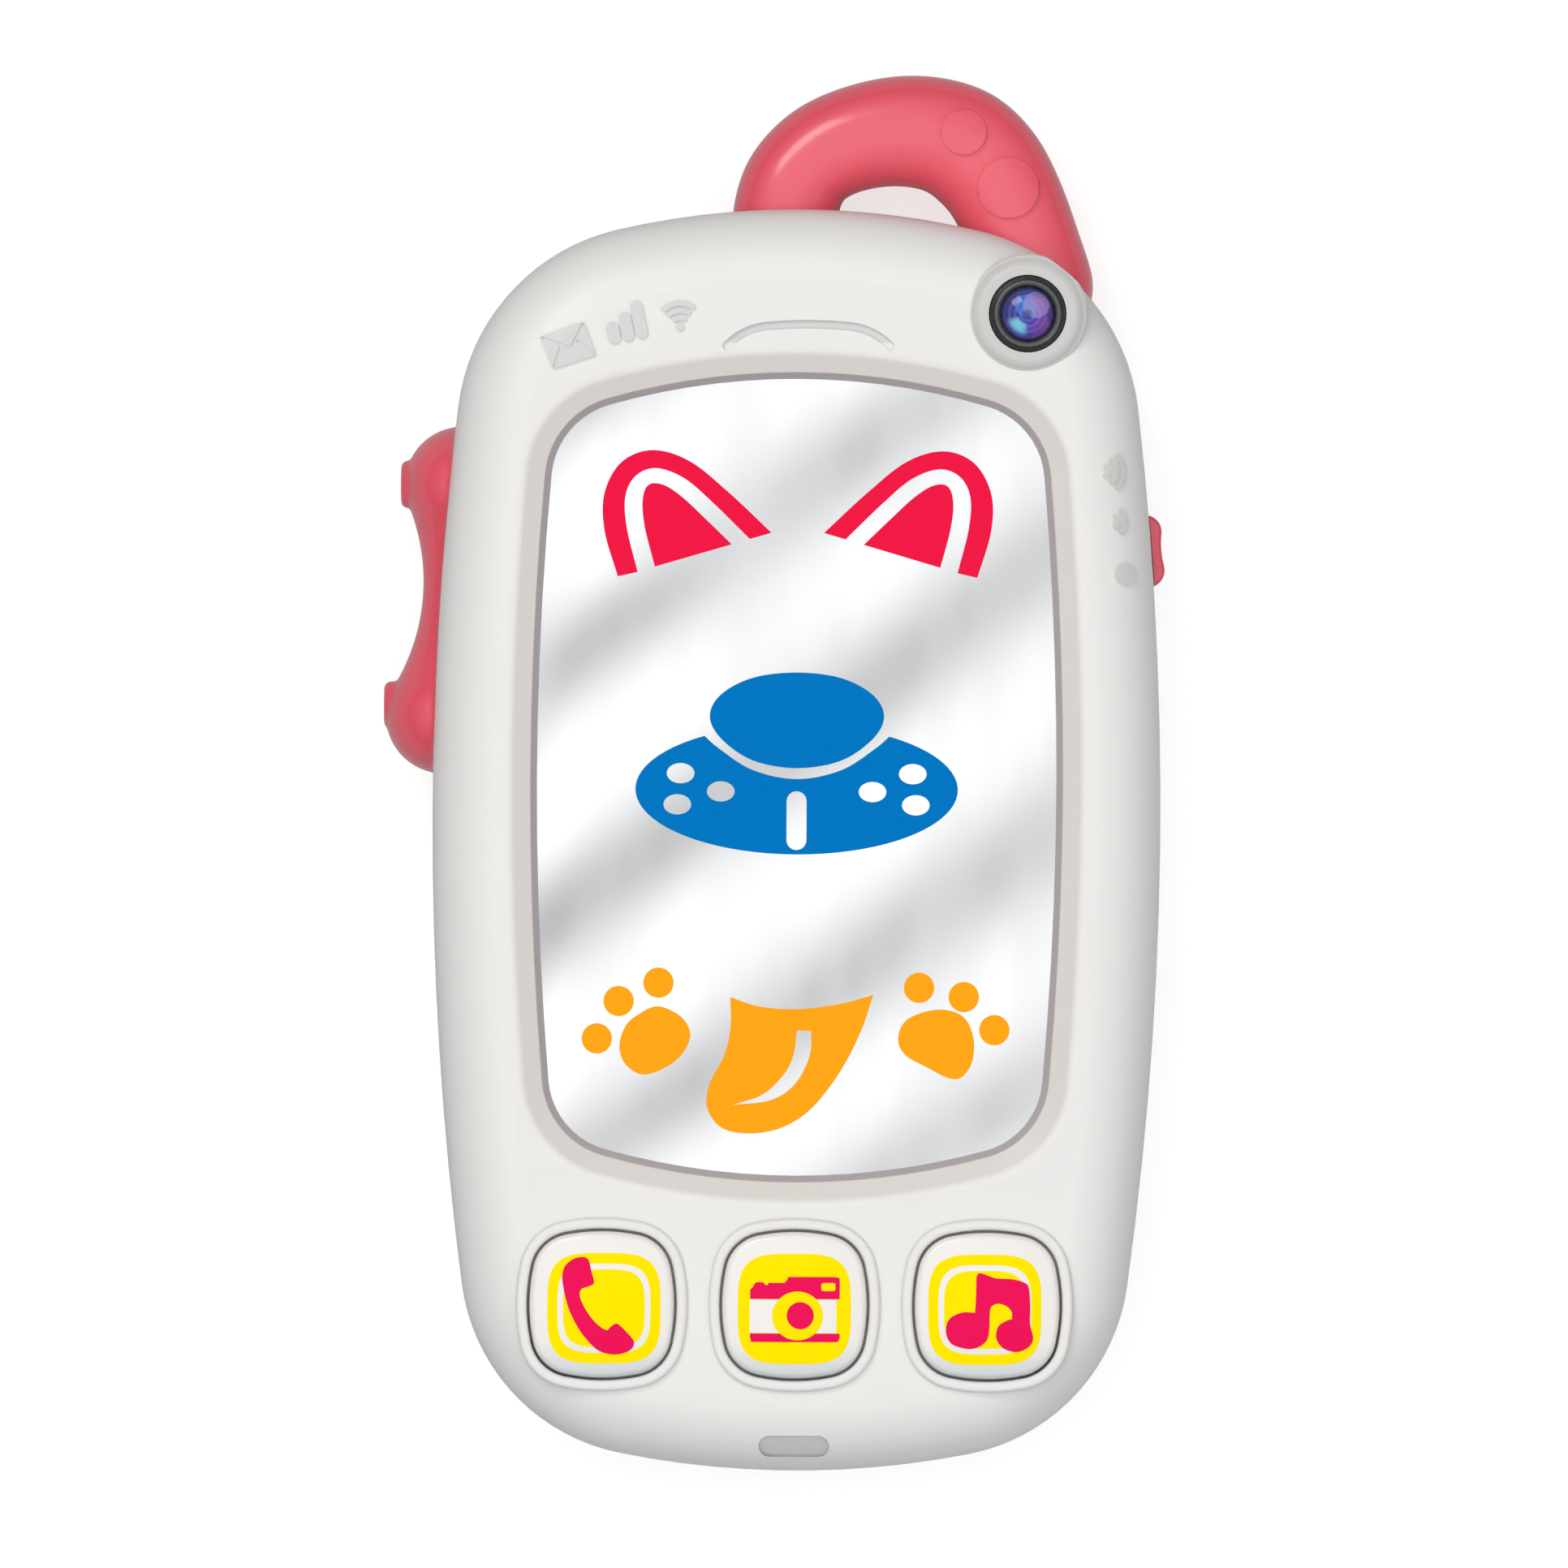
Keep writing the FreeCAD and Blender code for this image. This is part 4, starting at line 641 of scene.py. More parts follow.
def squircle(x, y, half_width, half_height, power=3.6, count=96):
    """Rounded square."""
    loop = []
    for index in range(count):
        turn = 2 * math.pi * index / count
        along, up = math.cos(turn), math.sin(turn)
        loop.append(Vector((x + half_width * math.copysign(abs(along) ** (2 / power), along),
                            y + half_height * math.copysign(abs(up) ** (2 / power), up))))
    return loop


def mirrored(loop):
    return [Vector((-point.x, point.y)) for point in reversed(loop)]


def inside(point, loops):
    """Even-odd test."""
    crossings = 0
    for loop in loops:
        for start, end in zip(loop, loop[1:] + loop[:1]):
            if (start.y > point.y) != (end.y > point.y):
                at = start.x + (point.y - start.y) / (end.y - start.y) * (end.x - start.x)
                crossings += at > point.x
    return crossings % 2 == 1


def grid_inside(loops, step):
    """Points of an even grid inside the loops."""
    xs = [point.x for loop in loops for point in loop]
    ys = [point.y for loop in loops for point in loop]
    columns = range(math.floor(min(xs) / step), math.ceil(max(xs) / step) + 1)
    rows = range(math.floor(min(ys) / step), math.ceil(max(ys) / step) + 1)
    candidates = (Vector((column * step, row * step)) for column in columns for row in rows)
    return [point for point in candidates if inside(point, loops)]


def new_piece(name, vertices, faces, material, open_film=False):
    """A piece from vertices in millimetres. Its faces look outwards, or upwards on an open film."""
    mesh = bpy.data.meshes.new(name)
    mesh.from_pydata([(x * MM, y * MM, z * MM) for x, y, z in vertices], [], faces)
    tidy = bmesh.new()
    tidy.from_mesh(mesh)
    bmesh.ops.delete(tidy, geom=[vertex for vertex in tidy.verts if not vertex.link_faces], context="VERTS")
    if not open_film:
        bmesh.ops.remove_doubles(tidy, verts=tidy.verts, dist=1e-7)
    bmesh.ops.recalc_face_normals(tidy, faces=tidy.faces)
    if open_film and sum(face.normal.z for face in tidy.faces) < 0:
        bmesh.ops.reverse_faces(tidy, faces=tidy.faces)
    tidy.to_mesh(mesh)
    tidy.free()
    mesh.materials.append(material)
    piece = bpy.data.objects.new(name, mesh)
    bpy.context.scene.collection.objects.link(piece)
    return piece


def printed(name, loops, surface, lift, body, material, step=1.0):
    """A thin ink film over a surface. Loops are in millimetres, and a loop inside another is a hole."""
    points = []
    edges = []
    for loop in loops:
        first = len(points)
        points += loop
        edges += [(first + index, first + (index + 1) % len(loop)) for index in range(len(loop))]
    points += grid_inside(loops, step)
    corners, _, triangles, *_ = delaunay_2d_cdt(points, edges, [], 0, 1e-5)
    kept = [triangle for triangle in triangles
            if inside(sum((corners[index] for index in triangle), Vector((0, 0))) / 3, loops)]
    vertices = [(point.x, point.y, surface(point) + lift) for point in corners]
    piece = new_piece(name, vertices, kept, material, open_film=True)
    film = piece.modifiers.new("film", "SOLIDIFY")
    film.thickness = INK_FILM * MM
    film.offset = -1.0
    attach(piece, body)
    return piece


def screen_surface(point):
    return SCREEN_Z


def cap_surface(centre_x):
    """Crowned top of one button."""
    def height(point):
        across = (point.x - centre_x) ** 2 + (point.y - BUTTON_Y) ** 2
        return CAP_CROWN_Z - (CAP_CROWN_RADIUS - math.sqrt(CAP_CROWN_RADIUS ** 2 - across))
    return height


# ---- screen print ----

EAR_BAND = outline(
    ((-19.9, 29.1), (-21.4, 34.2), (-21.4, 38.4), (-19.5, 41.8), (-16.1, 43.1), (-12.0, 41.9), (-7.6, 38.4)),
    ((-2.9, 34.0),),
    ((-5.3, 33.3), (-9.4, 37.3), (-12.6, 40.0), (-15.7, 41.1), (-18.0, 40.2), (-19.1, 37.9), (-18.9, 34.4)),
    ((-17.7, 29.6),),
)
EAR_FILL = outline(
    ((-15.8, 30.2), (-16.9, 34.4), (-17.2, 37.4), (-16.6, 39.2), (-15.0, 39.3), (-12.9, 38.0), (-10.2, 35.5)),
    ((-7.3, 32.7),),
)
NOSE_TOP = ring_of((
    (0.0, 18.55), (4.9, 17.95), (8.4, 16.1), (9.65, 13.7), (8.4, 11.2), (4.9, 8.8),
    (0.0, 7.95), (-4.9, 8.8), (-8.4, 11.2), (-9.65, 13.7), (-8.4, 16.1), (-4.9, 17.95)))


def muzzle_outline():
    """Wide ellipse whose top is cut by the gap under the nose."""
    half_width, half_height, middle = 17.85, 7.2, 5.6
    start = math.asin((11.5 - middle) / half_height)
    sweep = math.pi + 2 * start
    steps = 60
    loop = []
    for step in range(steps + 1):
        turn = start - sweep * step / steps
        loop.append(Vector((half_width * math.cos(turn), middle + half_height * math.sin(turn))))
    edge = loop[-1]
    gap = through([edge, Vector((-8.6, 10.1)), Vector((-4.9, 7.75)), Vector((0.0, 6.75)),
                   Vector((4.9, 7.75)), Vector((8.6, 10.1)), loop[0]])
    return loop + gap[1:-1]


def pill(x, low, high, half_width, steps=12):
    """Upright slot with round ends."""
    arc = [Vector((half_width * math.cos(turn), half_width * math.sin(turn)))
           for turn in (math.pi * step / steps for step in range(steps + 1))]
    top = Vector((x, high - half_width))
    foot = Vector((x, low + half_width))
    return [top + point for point in arc] + [foot - point for point in arc]


WHISKER_SPOTS = ((-12.85, 7.35), (-8.4, 5.35), (-13.2, 3.9), (12.85, 7.35), (8.4, 5.35), (13.2, 3.9))
TONGUE = outline(
    ((-7.25, -17.4), (-4.0, -18.45), (0.4, -18.7), (5.0, -18.1)),
    ((8.6, -17.1), (7.2, -21.2), (4.9, -25.7), (1.8, -29.7), (-1.4, -31.8), (-5.0, -32.5), (-8.1, -31.9),
     (-9.75, -29.7), (-9.5, -27.0), (-7.9, -23.9), (-7.2, -20.7)),
)
TONGUE_SHINE = outline(
    ((0.15, -21.05),),
    ((1.75, -21.15), (1.55, -23.9), (-0.05, -27.0), (-2.75, -28.8)),
    ((-6.95, -29.35), (-3.65, -28.2), (-1.4, -26.1), (-0.25, -23.9)),
)
LEFT_PAD = ring_of((
    (-17.6, -19.5), (-15.3, -18.45), (-12.7, -19.6), (-11.65, -21.6), (-12.65, -23.9), (-14.9, -25.5),
    (-17.1, -26.0), (-18.9, -24.8), (-19.5, -22.8), (-18.85, -20.7)))
RIGHT_PAD = ring_of((
    (15.6, -18.7), (18.4, -19.35), (19.65, -21.6), (19.6, -24.3), (18.5, -26.1), (17.0, -26.3),
    (14.35, -25.0), (12.1, -23.7), (11.35, -21.9), (12.35, -19.8)))
LEFT_TOES = ((-15.2, -15.85), (-19.6, -17.9), (-22.0, -22.05))
RIGHT_TOES = ((13.65, -16.3), (18.6, -17.3), (22.0, -20.95))
TOE_RADIUS = 1.68


def print_screen():
    """Face pictograms printed on the mirror."""
    red = ink_material("ink_red", EAR_RED)
    blue = ink_material("ink_blue", NOSE_BLUE)
    orange = ink_material("ink_orange", PAW_ORANGE)
    spots = [ellipse(x, y, 1.53, 1.12) for x, y in WHISKER_SPOTS]
    jobs = {
        "print_ears": ([EAR_BAND, EAR_FILL, mirrored(EAR_BAND), mirrored(EAR_FILL)], red),
        "print_nose": ([NOSE_TOP], blue),
        "print_muzzle": ([muzzle_outline(), pill(0.0, -1.1, 5.4, 1.1)] + spots, blue),
        "print_tongue": ([TONGUE, TONGUE_SHINE], orange),
        "print_paws": ([LEFT_PAD, RIGHT_PAD] + [ellipse(x, y, TOE_RADIUS, TOE_RADIUS)
                                                for x, y in LEFT_TOES + RIGHT_TOES], orange),
    }
    for name, (loops, material) in jobs.items():
        printed(name, loops, screen_surface, INK_LIFT, "phone", material, 4.0)


print_screen()


# ---- button prints ----

PRINT_DROP = 0.4
PRINT_SPREAD = 0.988         # the prints sit a little nearer to the middle than their caps
PRINT_HALF_WIDTH = 6.25
PRINT_HALF_HEIGHT = 6.1
RIM_OUTER = (5.15, 4.95)
RIM_INNER = (4.5, 4.3)

HANDSET = ring_of((
    (-3.1, 5.55), (-1.85, 5.5), (-1.4, 4.1), (-1.1, 2.85), (-1.6, 2.45), (-2.5, 2.1), (-2.65, 1.3),
    (-2.1, 0.0), (-1.0, -1.5), (0.25, -2.4), (0.85, -1.95), (1.5, -1.7), (2.4, -2.5), (3.3, -3.6),
    (3.05, -4.5), (1.85, -5.05), (0.45, -5.05), (-0.9, -4.45), (-2.5, -2.7), (-3.8, -0.3), (-4.45, 2.1),
    (-4.6, 3.7), (-4.2, 4.8)))
CAMERA_PLATE = outline(
    ((-4.9, 1.1),), ((-4.9, 2.15),), ((-4.6, 2.4),), ((-4.45, 2.75), (-4.15, 2.95)), ((-3.45, 2.95),),
    ((-3.2, 2.65),), ((-3.0, 2.65),), ((-2.85, 2.9),), ((-1.1, 2.9),), ((-0.85, 3.2),),
    ((-0.7, 3.45), (-0.5, 3.55)),
    ((4.5, 3.55), (4.9, 3.45), (5.0, 3.1)), ((5.0, 1.4), (4.95, 1.15), (4.7, 1.1)),
)
CAMERA_FINDER = squircle(3.75, 2.45, 0.78, 0.45, 6.0, 48)
CAMERA_STRIP = outline(
    ((-4.9, -2.7),), ((-4.9, -3.15), (-4.75, -3.55), (-4.4, -3.65)),
    ((4.5, -3.65), (4.85, -3.55), (5.0, -3.15)),
    ((5.0, -2.7),),
)
CAMERA_BODY = outline(((-4.95, 1.05),), ((-4.95, -2.65),), ((4.65, -2.65),), ((4.65, 1.05),))
NOTE = outline(
    ((-0.95, 3.6), (-0.75, 4.0), (-0.25, 4.0), (1.2, 3.5), (3.0, 3.4), (4.4, 3.0), (4.85, 2.4), (5.0, 0.4),
     (5.0, -1.55), (5.35, -3.1), (4.85, -4.1), (3.55, -4.65), (2.0, -4.2), (1.25, -3.05), (1.5, -1.8),
     (2.35, -1.2)),
    ((3.0, -1.0), (2.95, -0.2), (2.4, 0.4), (1.45, 0.7), (0.75, 0.4), (0.55, -0.3), (0.5, -2.0), (0.25, -3.3),
     (-0.75, -4.15), (-2.1, -4.3), (-3.7, -3.75), (-4.3, -2.4), (-3.9, -1.0), (-2.5, -0.3)),
    ((-1.1, -0.3), (-1.0, 1.2)),
)


def placed(loop, centre):
    return [point + centre for point in loop]


def print_buttons():
    """Yellow squares with magenta signs, one layer over another."""
    yellow = ink_material("ink_yellow", YELLOW)
    magenta = ink_material("ink_magenta", MAGENTA)
    square = squircle(0, 0, PRINT_HALF_WIDTH, PRINT_HALF_HEIGHT)
    rimmed = [square, squircle(0, 0, *RIM_OUTER), squircle(0, 0, *RIM_INNER)]
    layers = {
        "phone": (("square", rimmed, yellow), ("sign", [HANDSET], magenta)),
        "camera": (("square", [square, CAMERA_BODY], yellow),
                   ("sign", [CAMERA_PLATE, CAMERA_FINDER, CAMERA_STRIP], magenta),
                   ("lens_ring", [ellipse(0.35, -0.75, 2.8, 2.7)], yellow),
                   ("lens_dot", [ellipse(0.65, -0.72, 1.5, 1.5)], magenta)),
        "music": (("square", rimmed, yellow), ("sign", [NOTE], magenta)),
    }
    for button, stack in layers.items():
        x = BUTTON_X[button]
        centre = Vector((x * PRINT_SPREAD, BUTTON_Y - PRINT_DROP))
        for level, (part, loops, material) in enumerate(stack, 1):
            printed("print_%s_%s" % (button, part), [placed(loop, centre) for loop in loops], cap_surface(x),
                    INK_LIFT * level, "button_" + button, material)


print_buttons()


# ---- rubber domes ----

def skin(rows, count, capped):
    """Faces between rings of vertices. The ends are capped, or the last ring joins the first."""
    faces = []
    for row in range(rows - 1 if capped else rows):
        here = row * count
        after = (row + 1) % rows * count
        for side in range(count):
            beside = (side + 1) % count
            faces.append((here + side, here + beside, after + beside, after + side))
    if capped:
        faces += [tuple(range(count)), tuple(range((rows - 1) * count, rows * count))]
    return faces


def lathed(name, profile, centre, material, steps=64):
    """Closed solid turned from (radius, height) points about an upright axis."""
    circle = [2 * math.pi * step / steps for step in range(steps)]
    vertices = [(centre[0] + radius * math.cos(turn), centre[1] + radius * math.sin(turn), height)
                for radius, height in profile for turn in circle]
    piece = new_piece(name, vertices, skin(len(profile), steps, capped=False), material)
    piece.data.shade_smooth()
    return piece


DOME_PROFILE = (
    (4.6, 19.2), (6.15, 19.2), (6.2, 19.3), (6.2, 19.9), (6.1, 20.0), (5.2, 20.0), (4.1, 21.5), (3.15, 22.75),
    (3.1, 22.9), (3.1, 23.6), (3.0, 23.7), (0.0, 23.7), (0.0, 22.6), (2.4, 22.6), (2.5, 22.4), (3.6, 20.9),
    (4.55, 19.7))


def add_domes():
    """Rubber springs under the buttons. They flatten as the buttons go down, but here they are made in their
    rest shape only.
    """
    for button, x in BUTTON_X.items():
        dome = lathed("soft_dome_" + button, DOME_PROFILE, (x, BUTTON_Y), MATERIALS["silicone"])
        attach(dome, "phone")
        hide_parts("rubber_dome_" + button)
        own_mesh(dome)


add_domes()


LENS_LIP_RADIUS = 3.05
LENS_SEAT_RADIUS = 3.65
LENS_COVER_FOOT_Z = 29.5
LENS_COVER_EDGE_Z = 30.25
LENS_COVER_RISE = 0.75
LENS_DISC_FOOT_Z = 28.3


def add_lens():
    """Finely turned cover and printed disc, so the lens is smooth close up."""
    edge = LENS_LIP_RADIUS - 0.05
    sphere = (edge ** 2 + LENS_COVER_RISE ** 2) / (2 * LENS_COVER_RISE)
    middle = LENS_COVER_EDGE_Z + LENS_COVER_RISE - sphere
    reach = math.asin(edge / sphere)
    crown = [(sphere * math.sin(reach * (1 - step / 24)), middle + sphere * math.cos(reach * (1 - step / 24)))
             for step in range(25)]
    cover = [(0.0, LENS_COVER_FOOT_Z), (LENS_SEAT_RADIUS - 0.05, LENS_COVER_FOOT_Z),
             (LENS_SEAT_RADIUS - 0.05, LENS_COVER_EDGE_Z)] + crown
    disc = [(0.0, LENS_DISC_FOOT_Z), (LENS_SEAT_RADIUS - 0.05, LENS_DISC_FOOT_Z),
            (LENS_SEAT_RADIUS - 0.05, LENS.z), (0.0, LENS.z)]
    for node, profile, slot in (("lens_dome", cover, "clear_plastic"), ("lens_disc", disc, "lens_print")):
        piece = lathed("fine_" + node, profile, LENS, MATERIALS[slot], 128)
        piece.data.set_sharp_from_angle(angle=math.radians(40))
        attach(piece, "phone")
        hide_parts(node)


add_lens()


# ---- handle and side grip ----

PARTING_Z = 14.5
HANDLE_HALF_DEPTH = 5.8
HANDLE_CORNER_PULL = 1.05     # 0.707 gives a plain ellipse
# Outer and inner edge of the loop at each station, from the left foot round to the right foot.
HANDLE_STATIONS = (
    ((-7.4, 61.8), (4.0, 61.8)),
    ((-7.5, 66.0), (4.0, 66.2)),
    ((-7.2, 71.2), (4.6, 70.6)),
    ((-5.2, 76.6), (5.8, 71.8)),
    ((-0.2, 81.6), (7.8, 72.5)),
    ((7.0, 84.5), (10.3, 72.85)),
    ((14.2, 85.2), (12.6, 72.7)),
    ((21.2, 83.4), (14.3, 72.2)),
    ((26.2, 78.9), (15.6, 71.2)),
    ((29.2, 73.2), (16.9, 69.8)),
    ((31.2, 67.6), (18.2, 67.4)),
    ((32.9, 62.0), (19.6, 63.6)),
    ((31.8, 57.4), (21.4, 59.4)),
)
HANDLE_DISCS = {"small": (18.25, 78.7, 2.5), "large": (23.25, 72.5, 3.35)}
HANDLE_REACH = 9.0           # farthest that a point of a disc is from the middle of its section
HANDLE_DISC_RISE = 0.65
HANDLE_DISC_DEPTH = 1.3
HANDLE_DISC_ROUND = 0.36
# Middle, half width along and half thickness across, and turn in degrees of each foot plate.
HANDLE_FEET = {"left": ((-1.8, 65.8), 7.0, 0.9, 0.0), "right": ((24.85, 58.68), 6.4, 0.9, -12.0)}
FOOT_HALF_DEPTH = 6.2
FOOT_CORNER = 3.0


def evened(run, passes=12):
    """The run with small kinks smoothed away. The ends stay."""
    for _ in range(passes):
        run = [run[0]] + [(a + b * 2 + c) / 4 for a, b, c in zip(run, run[1:], run[2:])] + [run[-1]]
    return run


def handle_run():
    """Outer and inner edge at many places along the loop."""
    edges = zip(*HANDLE_STATIONS)
    outer, inner = (evened(through([Vector(point) for point in edge], 10)) for edge in edges)
    return list(zip(outer, inner))


def unit_section(steps=14):
    """Closed curve of half width 1, an ellipse pushed out towards the corners of its frame."""
    frame_points = [Vector(at) for at in
                    ((1, 0), (1, 1), (0, 1), (-1, 1), (-1, 0), (-1, -1), (0, -1), (1, -1), (1, 0))]
    loop = []
    for start, corner, end in zip(frame_points[0::2], frame_points[1::2], frame_points[2::2]):
        for step in range(steps):
            share = step / steps
            weights = ((1 - share) ** 2, 2 * HANDLE_CORNER_PULL * share * (1 - share), share ** 2)
            point = start * weights[0] + corner * weights[1] + end * weights[2]
            loop.append(point / sum(weights))
    return loop


def handle_surface(point):
    """Height of the top of the loop over a point near its right leg."""
    def middle_of(edges):
        return (edges[0] + edges[1]) / 2

    def miss(edges):
        return abs((point - middle_of(edges)).cross((edges[0] - edges[1]).normalized()))

    near = [edges for edges in handle_run()[20:-20] if (point - middle_of(edges)).length < HANDLE_REACH]
    edges = min(near, key=miss)
    half = (edges[0] - edges[1]) / 2
    share = min(abs((point - middle_of(edges)).dot(half.normalized())) / half.length, 1.0)
    quarter = [at for at in unit_section(60) if at.x >= 0 and at.y >= 0]
    return PARTING_Z + HANDLE_HALF_DEPTH * min(quarter, key=lambda at: abs(at.x - share)).y


def moulding(name, vertices, faces, sharp_from):
    """A closed pink piece, smooth but for the edges sharper than an angle in degrees."""
    piece = new_piece(name, vertices, faces, MATERIALS["pink_plastic"])
    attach(piece, "phone")
    piece.data.shade_smooth()
    piece.data.set_sharp_from_angle(angle=math.radians(sharp_from))
    return piece


def add_handle():
    """Smoothly swept loop, its raised discs and its foot plates."""
    section = unit_section()
    count = len(section)
    vertices = []
    for outer, inner in handle_run():
        middle = (outer + inner) / 2
        half = (outer - inner) / 2
        for at in section:
            place = middle + half * at.x
            vertices.append((place.x, place.y, PARTING_Z + HANDLE_HALF_DEPTH * at.y))
    loop = moulding("fine_handle", vertices, skin(len(vertices) // count, count, capped=True), 50)
    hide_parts("handle")
    for size, (x, y, radius) in HANDLE_DISCS.items():
        add_disc("handle_disc_" + size, ellipse(x, y, radius, radius, 72))
    for side, (middle, half_length, half_thickness, turn) in HANDLE_FEET.items():
        add_foot("handle_foot_" + side, Vector(middle), half_length, half_thickness, math.radians(turn))


def add_disc(name, circle):
    """Raised disc with a rounded rim, which follows the top of the loop."""
    disc = printed(name, [circle], handle_surface, HANDLE_DISC_RISE, "phone", MATERIALS["pink_plastic"],
                   0.5)
    disc.modifiers["film"].thickness = HANDLE_DISC_DEPTH * MM
    disc.data.shade_smooth()
    rim = disc.modifiers.new("rim", "BEVEL")
    rim.width = HANDLE_DISC_ROUND * MM
    rim.segments = 3
    rim.limit_method = "ANGLE"
    rim.angle_limit = math.radians(55)
    rim.harden_normals = True


def add_foot(name, middle, half_length, half_thickness, turn):
    """Plate with rounded corners, standing upright."""
    loop = []
    for quarter, (along, up) in enumerate(((1, 1), (-1, 1), (-1, -1), (1, -1))):
        for step in range(7):
            angle = math.pi / 2 * (quarter + step / 6)
            loop.append((along * (half_length - FOOT_CORNER) + FOOT_CORNER * math.cos(angle),
                         up * (FOOT_HALF_DEPTH - FOOT_CORNER) + FOOT_CORNER * math.sin(angle)))
    count = len(loop)
    vertices = []
    for depth in (-half_thickness, half_thickness):
        for along, up in loop:
            vertices.append((middle.x + along * math.cos(turn) - depth * math.sin(turn),
                             middle.y + along * math.sin(turn) + depth * math.cos(turn), PARTING_Z + up))
    moulding(name, vertices, skin(2, count, capped=True), 40)


add_handle()


GRIP_VOXEL = 0.22


def soften_grip():
    """Evens out the mesh of the side grip, so its joined curves shade as one moulding."""
    grip = NODES["side_grip"]
    even = grip.modifiers.new("even", "REMESH")
    even.mode = "VOXEL"
    even.voxel_size = GRIP_VOXEL * MM
    even.use_smooth_shade = True
    smooth = grip.modifiers.new("smooth", "SMOOTH")
    smooth.factor = 0.5
    smooth.iterations = 6


soften_grip()


# ---- floor, lights and camera ----

FLOOR_HALF = 6.0          # metres
FLOOR_Z = -0.0004         # metres
FLOOR_GLOW = 0.62
SKY_BASE = 0.11
SKY_GAIN = 0.97
SKY_SEEN = 0.92           # brightness of the sky where the camera looks straight at it
FLAG_SLANT = 34.0         # degrees
FLAG_STRETCH = 4.0
FLAG_PITCH = 0.01115      # spacing of the bands, as a slope from straight up
FLAG_PHASE = -0.75
FLAG_SHADES = (0.0, 0.52, 0.28, 1.14)     # a wave of 0 to 0.52 stands for light of 0.28 to 1.14
FLAG_REACH = 0.999        # the bands show only this near to straight up
CAMERA_LENS = 420.0
FRAME_WIDTH = 173.88      # what the picture spans at the height of the case front
CAMERA_AIM = (-1.4, 6.2)
FOCUS_Z = 24.0
CAMERA_ROLL = 0.25        # degrees
# Place and target in metres, size, watts, tint, and whether the lamp shows as a highlight.
LAMPS = {
    "overhead": ((-0.1, 0.03, 1.6), (0.0, 0.0, 0.015), (0.9, 0.9), 8.1, (1.0, 1.0, 1.0), False),
    "key": ((-0.42, 0.62, 1.05), (0.0, 0.0, 0.015), (0.45, 0.3), 3.0, (1.0, 0.985, 0.96), True),
    "fill": ((0.9, -0.5, 0.7), (0.0, 0.0, 0.015), (0.8, 0.8), 0.8, (0.95, 0.98, 1.0), True),
    "under": ((0.2, -0.2, -0.8), (0.0, 0.0, 0.0), (0.8, 0.8), 5.0, (1.0, 1.0, 1.0), True),
}


def add_floor():
    """Pale floor that shows only from above."""
    mesh = bpy.data.meshes.new("floor")
    corners = [(x * FLOOR_HALF, y * FLOOR_HALF, FLOOR_Z) for x, y in ((-1, -1), (1, -1), (1, 1), (-1, 1))]
    mesh.from_pydata(corners, [], [(0, 1, 2, 3)])
    floor = bpy.data.objects.new("floor", mesh)
    bpy.context.scene.collection.objects.link(floor)
    shader = Shader("floor_paper", Roughness=0.9, Emission_Color=(1.0, 1.0, 1.0, 1.0))
    shader.paint("Base Color", tinted(shader, (0.5, 0.5, 0.5, 1.0), 0.01, 60.0))
    seen = shader.add("ShaderNodeLightPath").outputs["Is Camera Ray"]
    shader.paint("Emission Strength", shader.multiply(seen, FLOOR_GLOW))
    clear = shader.add("ShaderNodeBsdfTransparent")
    choice = shader.add("ShaderNodeMixShader")
    side = shader.add("ShaderNodeNewGeometry")
    shader.feed(choice, 0, side.outputs["Backfacing"])
    shader.feed(choice, 1, shader.surface.outputs[0])
    shader.feed(choice, 2, clear.outputs[0])
    shader.feed(shader.tree.nodes["Material Output"], "Surface", choice.outputs[0])
    mesh.materials.append(shader.material)
    floor.visible_shadow = False


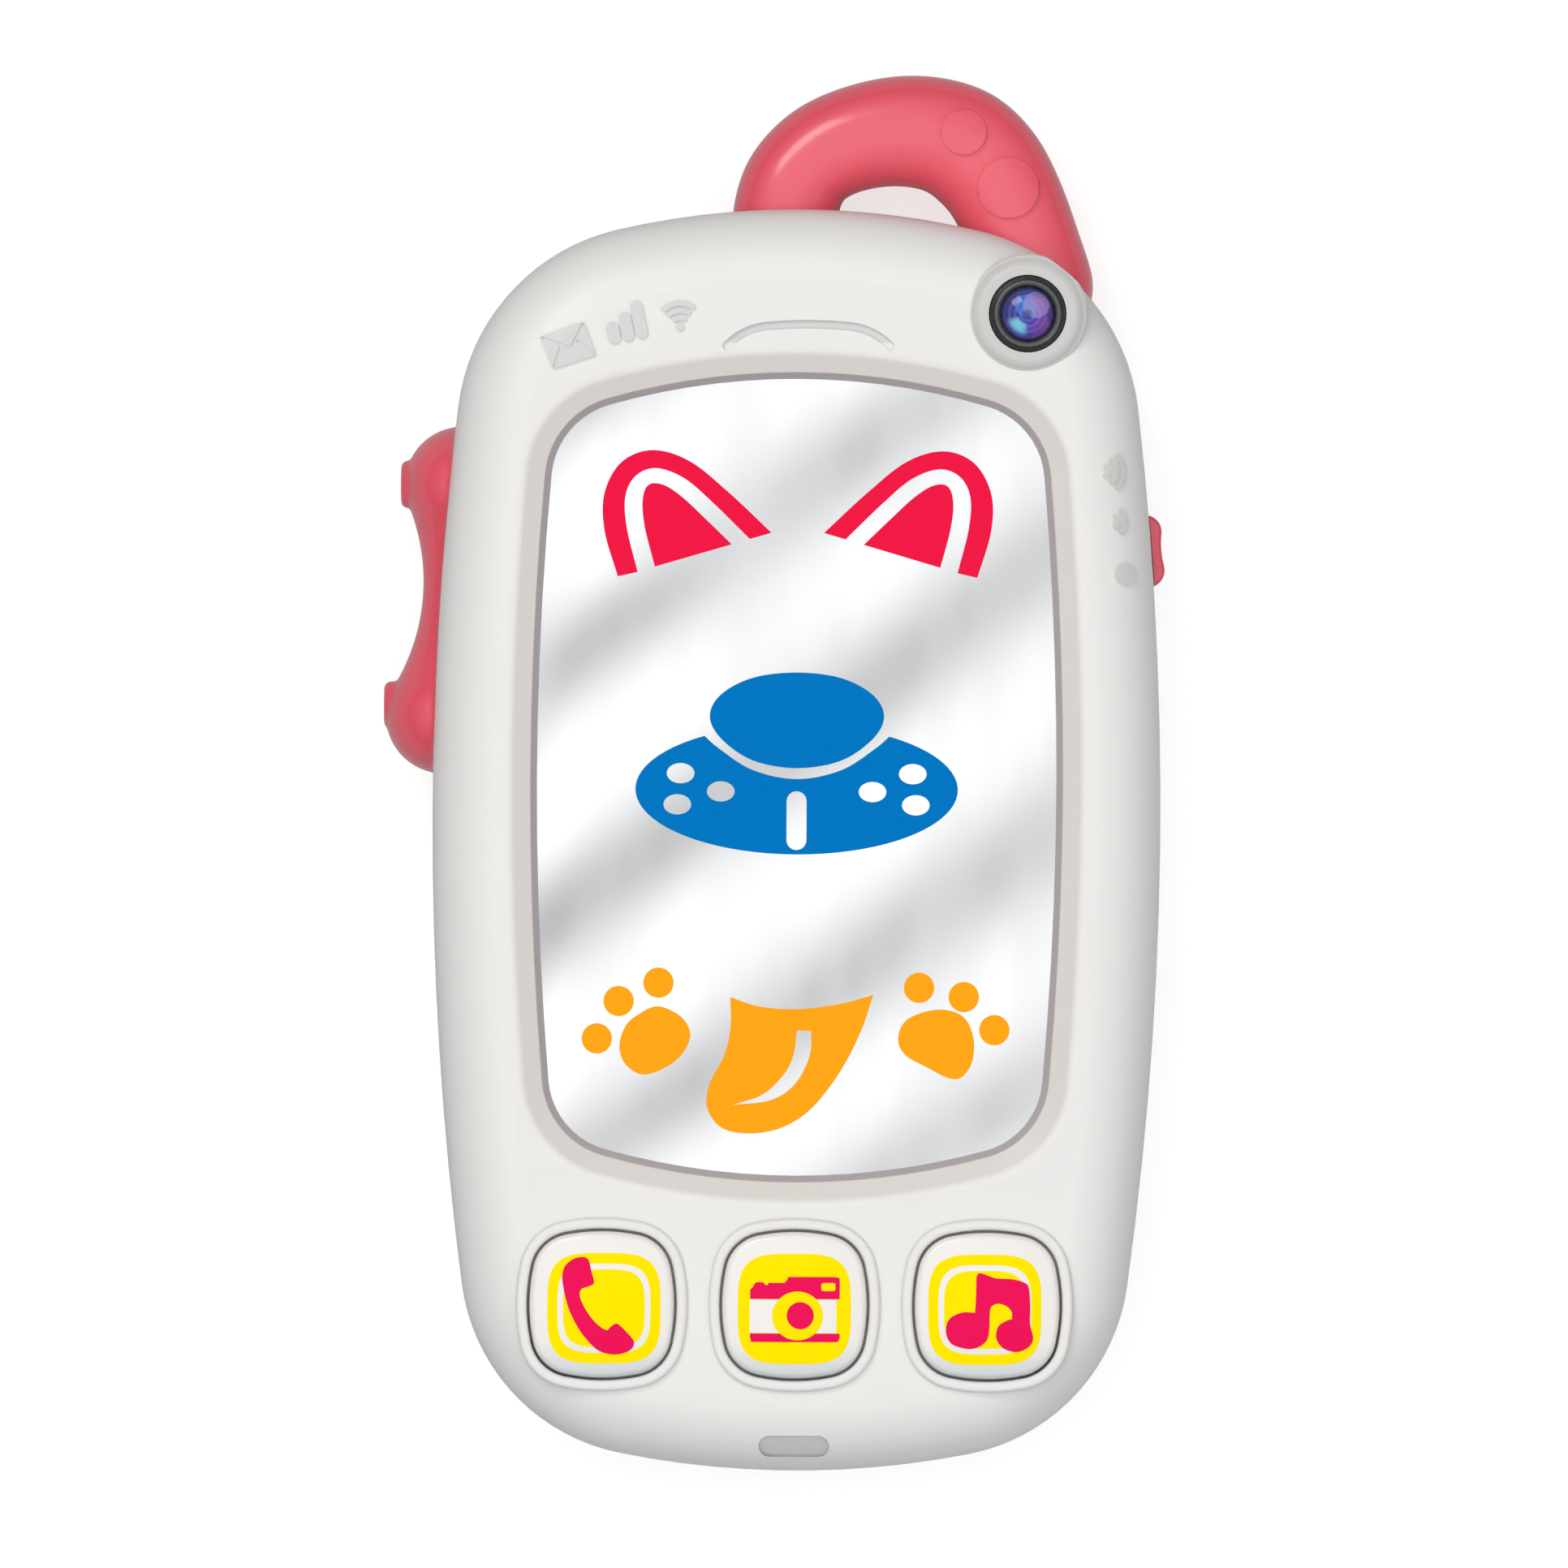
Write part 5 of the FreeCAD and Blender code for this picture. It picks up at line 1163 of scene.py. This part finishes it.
def add_world():
    """Soft studio dome, brightest overhead, with grey flags that the mirror shows as slanting bands."""
    world = bpy.data.worlds.new("studio")
    bpy.context.scene.world = world
    world.use_nodes = True
    sky = Graph(world.node_tree, "Generated")
    height = sky.axis("Z")
    up = sky.math("MAXIMUM", height, 0.0)
    dome = sky.math("ADD", sky.multiply(sky.math("POWER", up, 2.0), SKY_GAIN), SKY_BASE)
    dome = sky.multiply(dome, sky.math("GREATER_THAN", height, 0.0))
    turned = sky.add("ShaderNodeMapping", vector_type="TEXTURE")
    sky.feed(turned, "Vector", sky.place)
    sky.feed(turned, "Rotation", (0.0, 0.0, math.radians(FLAG_SLANT)))
    sky.feed(turned, "Scale", (FLAG_STRETCH, 1.0, 1.0))
    flags = sky.add("ShaderNodeTexWave", bands_direction="Y")
    for key, value in (("Vector", turned.outputs[0]), ("Scale", math.pi / 10 / FLAG_PITCH),
                       ("Distortion", 3.0), ("Detail", 2.0), ("Detail Scale", 0.8),
                       ("Phase Offset", FLAG_PHASE)):
        sky.feed(flags, key, value)
    bands = sky.remap(flags.outputs["Fac"], *FLAG_SHADES, smooth=True)
    change = sky.math("SUBTRACT", sky.multiply(dome, bands), dome)
    light = sky.math("ADD", dome, sky.multiply(change, sky.math("GREATER_THAN", height, FLAG_REACH)))
    pale = sky.add("ShaderNodeMix")
    sky.feed(pale, 0, sky.add("ShaderNodeLightPath").outputs["Is Camera Ray"])
    sky.feed(pale, 2, light)
    sky.feed(pale, 3, SKY_SEEN)
    background = sky.tree.nodes["Background"]
    sky.feed(background, "Strength", pale.outputs[0])
    sky.feed(background, "Color", (1.0, 1.0, 1.0, 1.0))


def add_area(name, place, target, size, watts, tint, shines):
    """Rectangular lamp turned towards its target."""
    light = bpy.data.lights.new(name, "AREA")
    light.shape = "RECTANGLE"
    light.size, light.size_y = size
    light.energy = watts
    light.color = tint
    lamp = bpy.data.objects.new(name, light)
    lamp.location = place
    lamp.rotation_mode = "QUATERNION"
    lamp.rotation_quaternion = (Vector(target) - Vector(place)).to_track_quat("-Z", "Y")
    lamp.visible_glossy = shines
    bpy.context.scene.collection.objects.link(lamp)


def add_camera():
    """Straight above the screen, far enough away to show it almost without perspective."""
    camera = bpy.data.cameras.new("camera")
    camera.sensor_width = 36.0
    camera.lens = CAMERA_LENS
    camera.clip_start = 0.05
    camera.clip_end = 50.0
    holder = bpy.data.objects.new("camera", camera)
    distance = camera.lens / camera.sensor_width * FRAME_WIDTH * MM
    holder.location = (CAMERA_AIM[0] * MM, CAMERA_AIM[1] * MM, FOCUS_Z * MM + distance)
    holder.rotation_euler = (0.0, 0.0, math.radians(CAMERA_ROLL))
    bpy.context.scene.collection.objects.link(holder)
    bpy.context.scene.camera = holder


add_floor()
add_world()
for lamp_name, lamp_facts in LAMPS.items():
    add_area(lamp_name, *lamp_facts)
add_camera()
bpy.context.scene.view_settings.view_transform = "Standard"
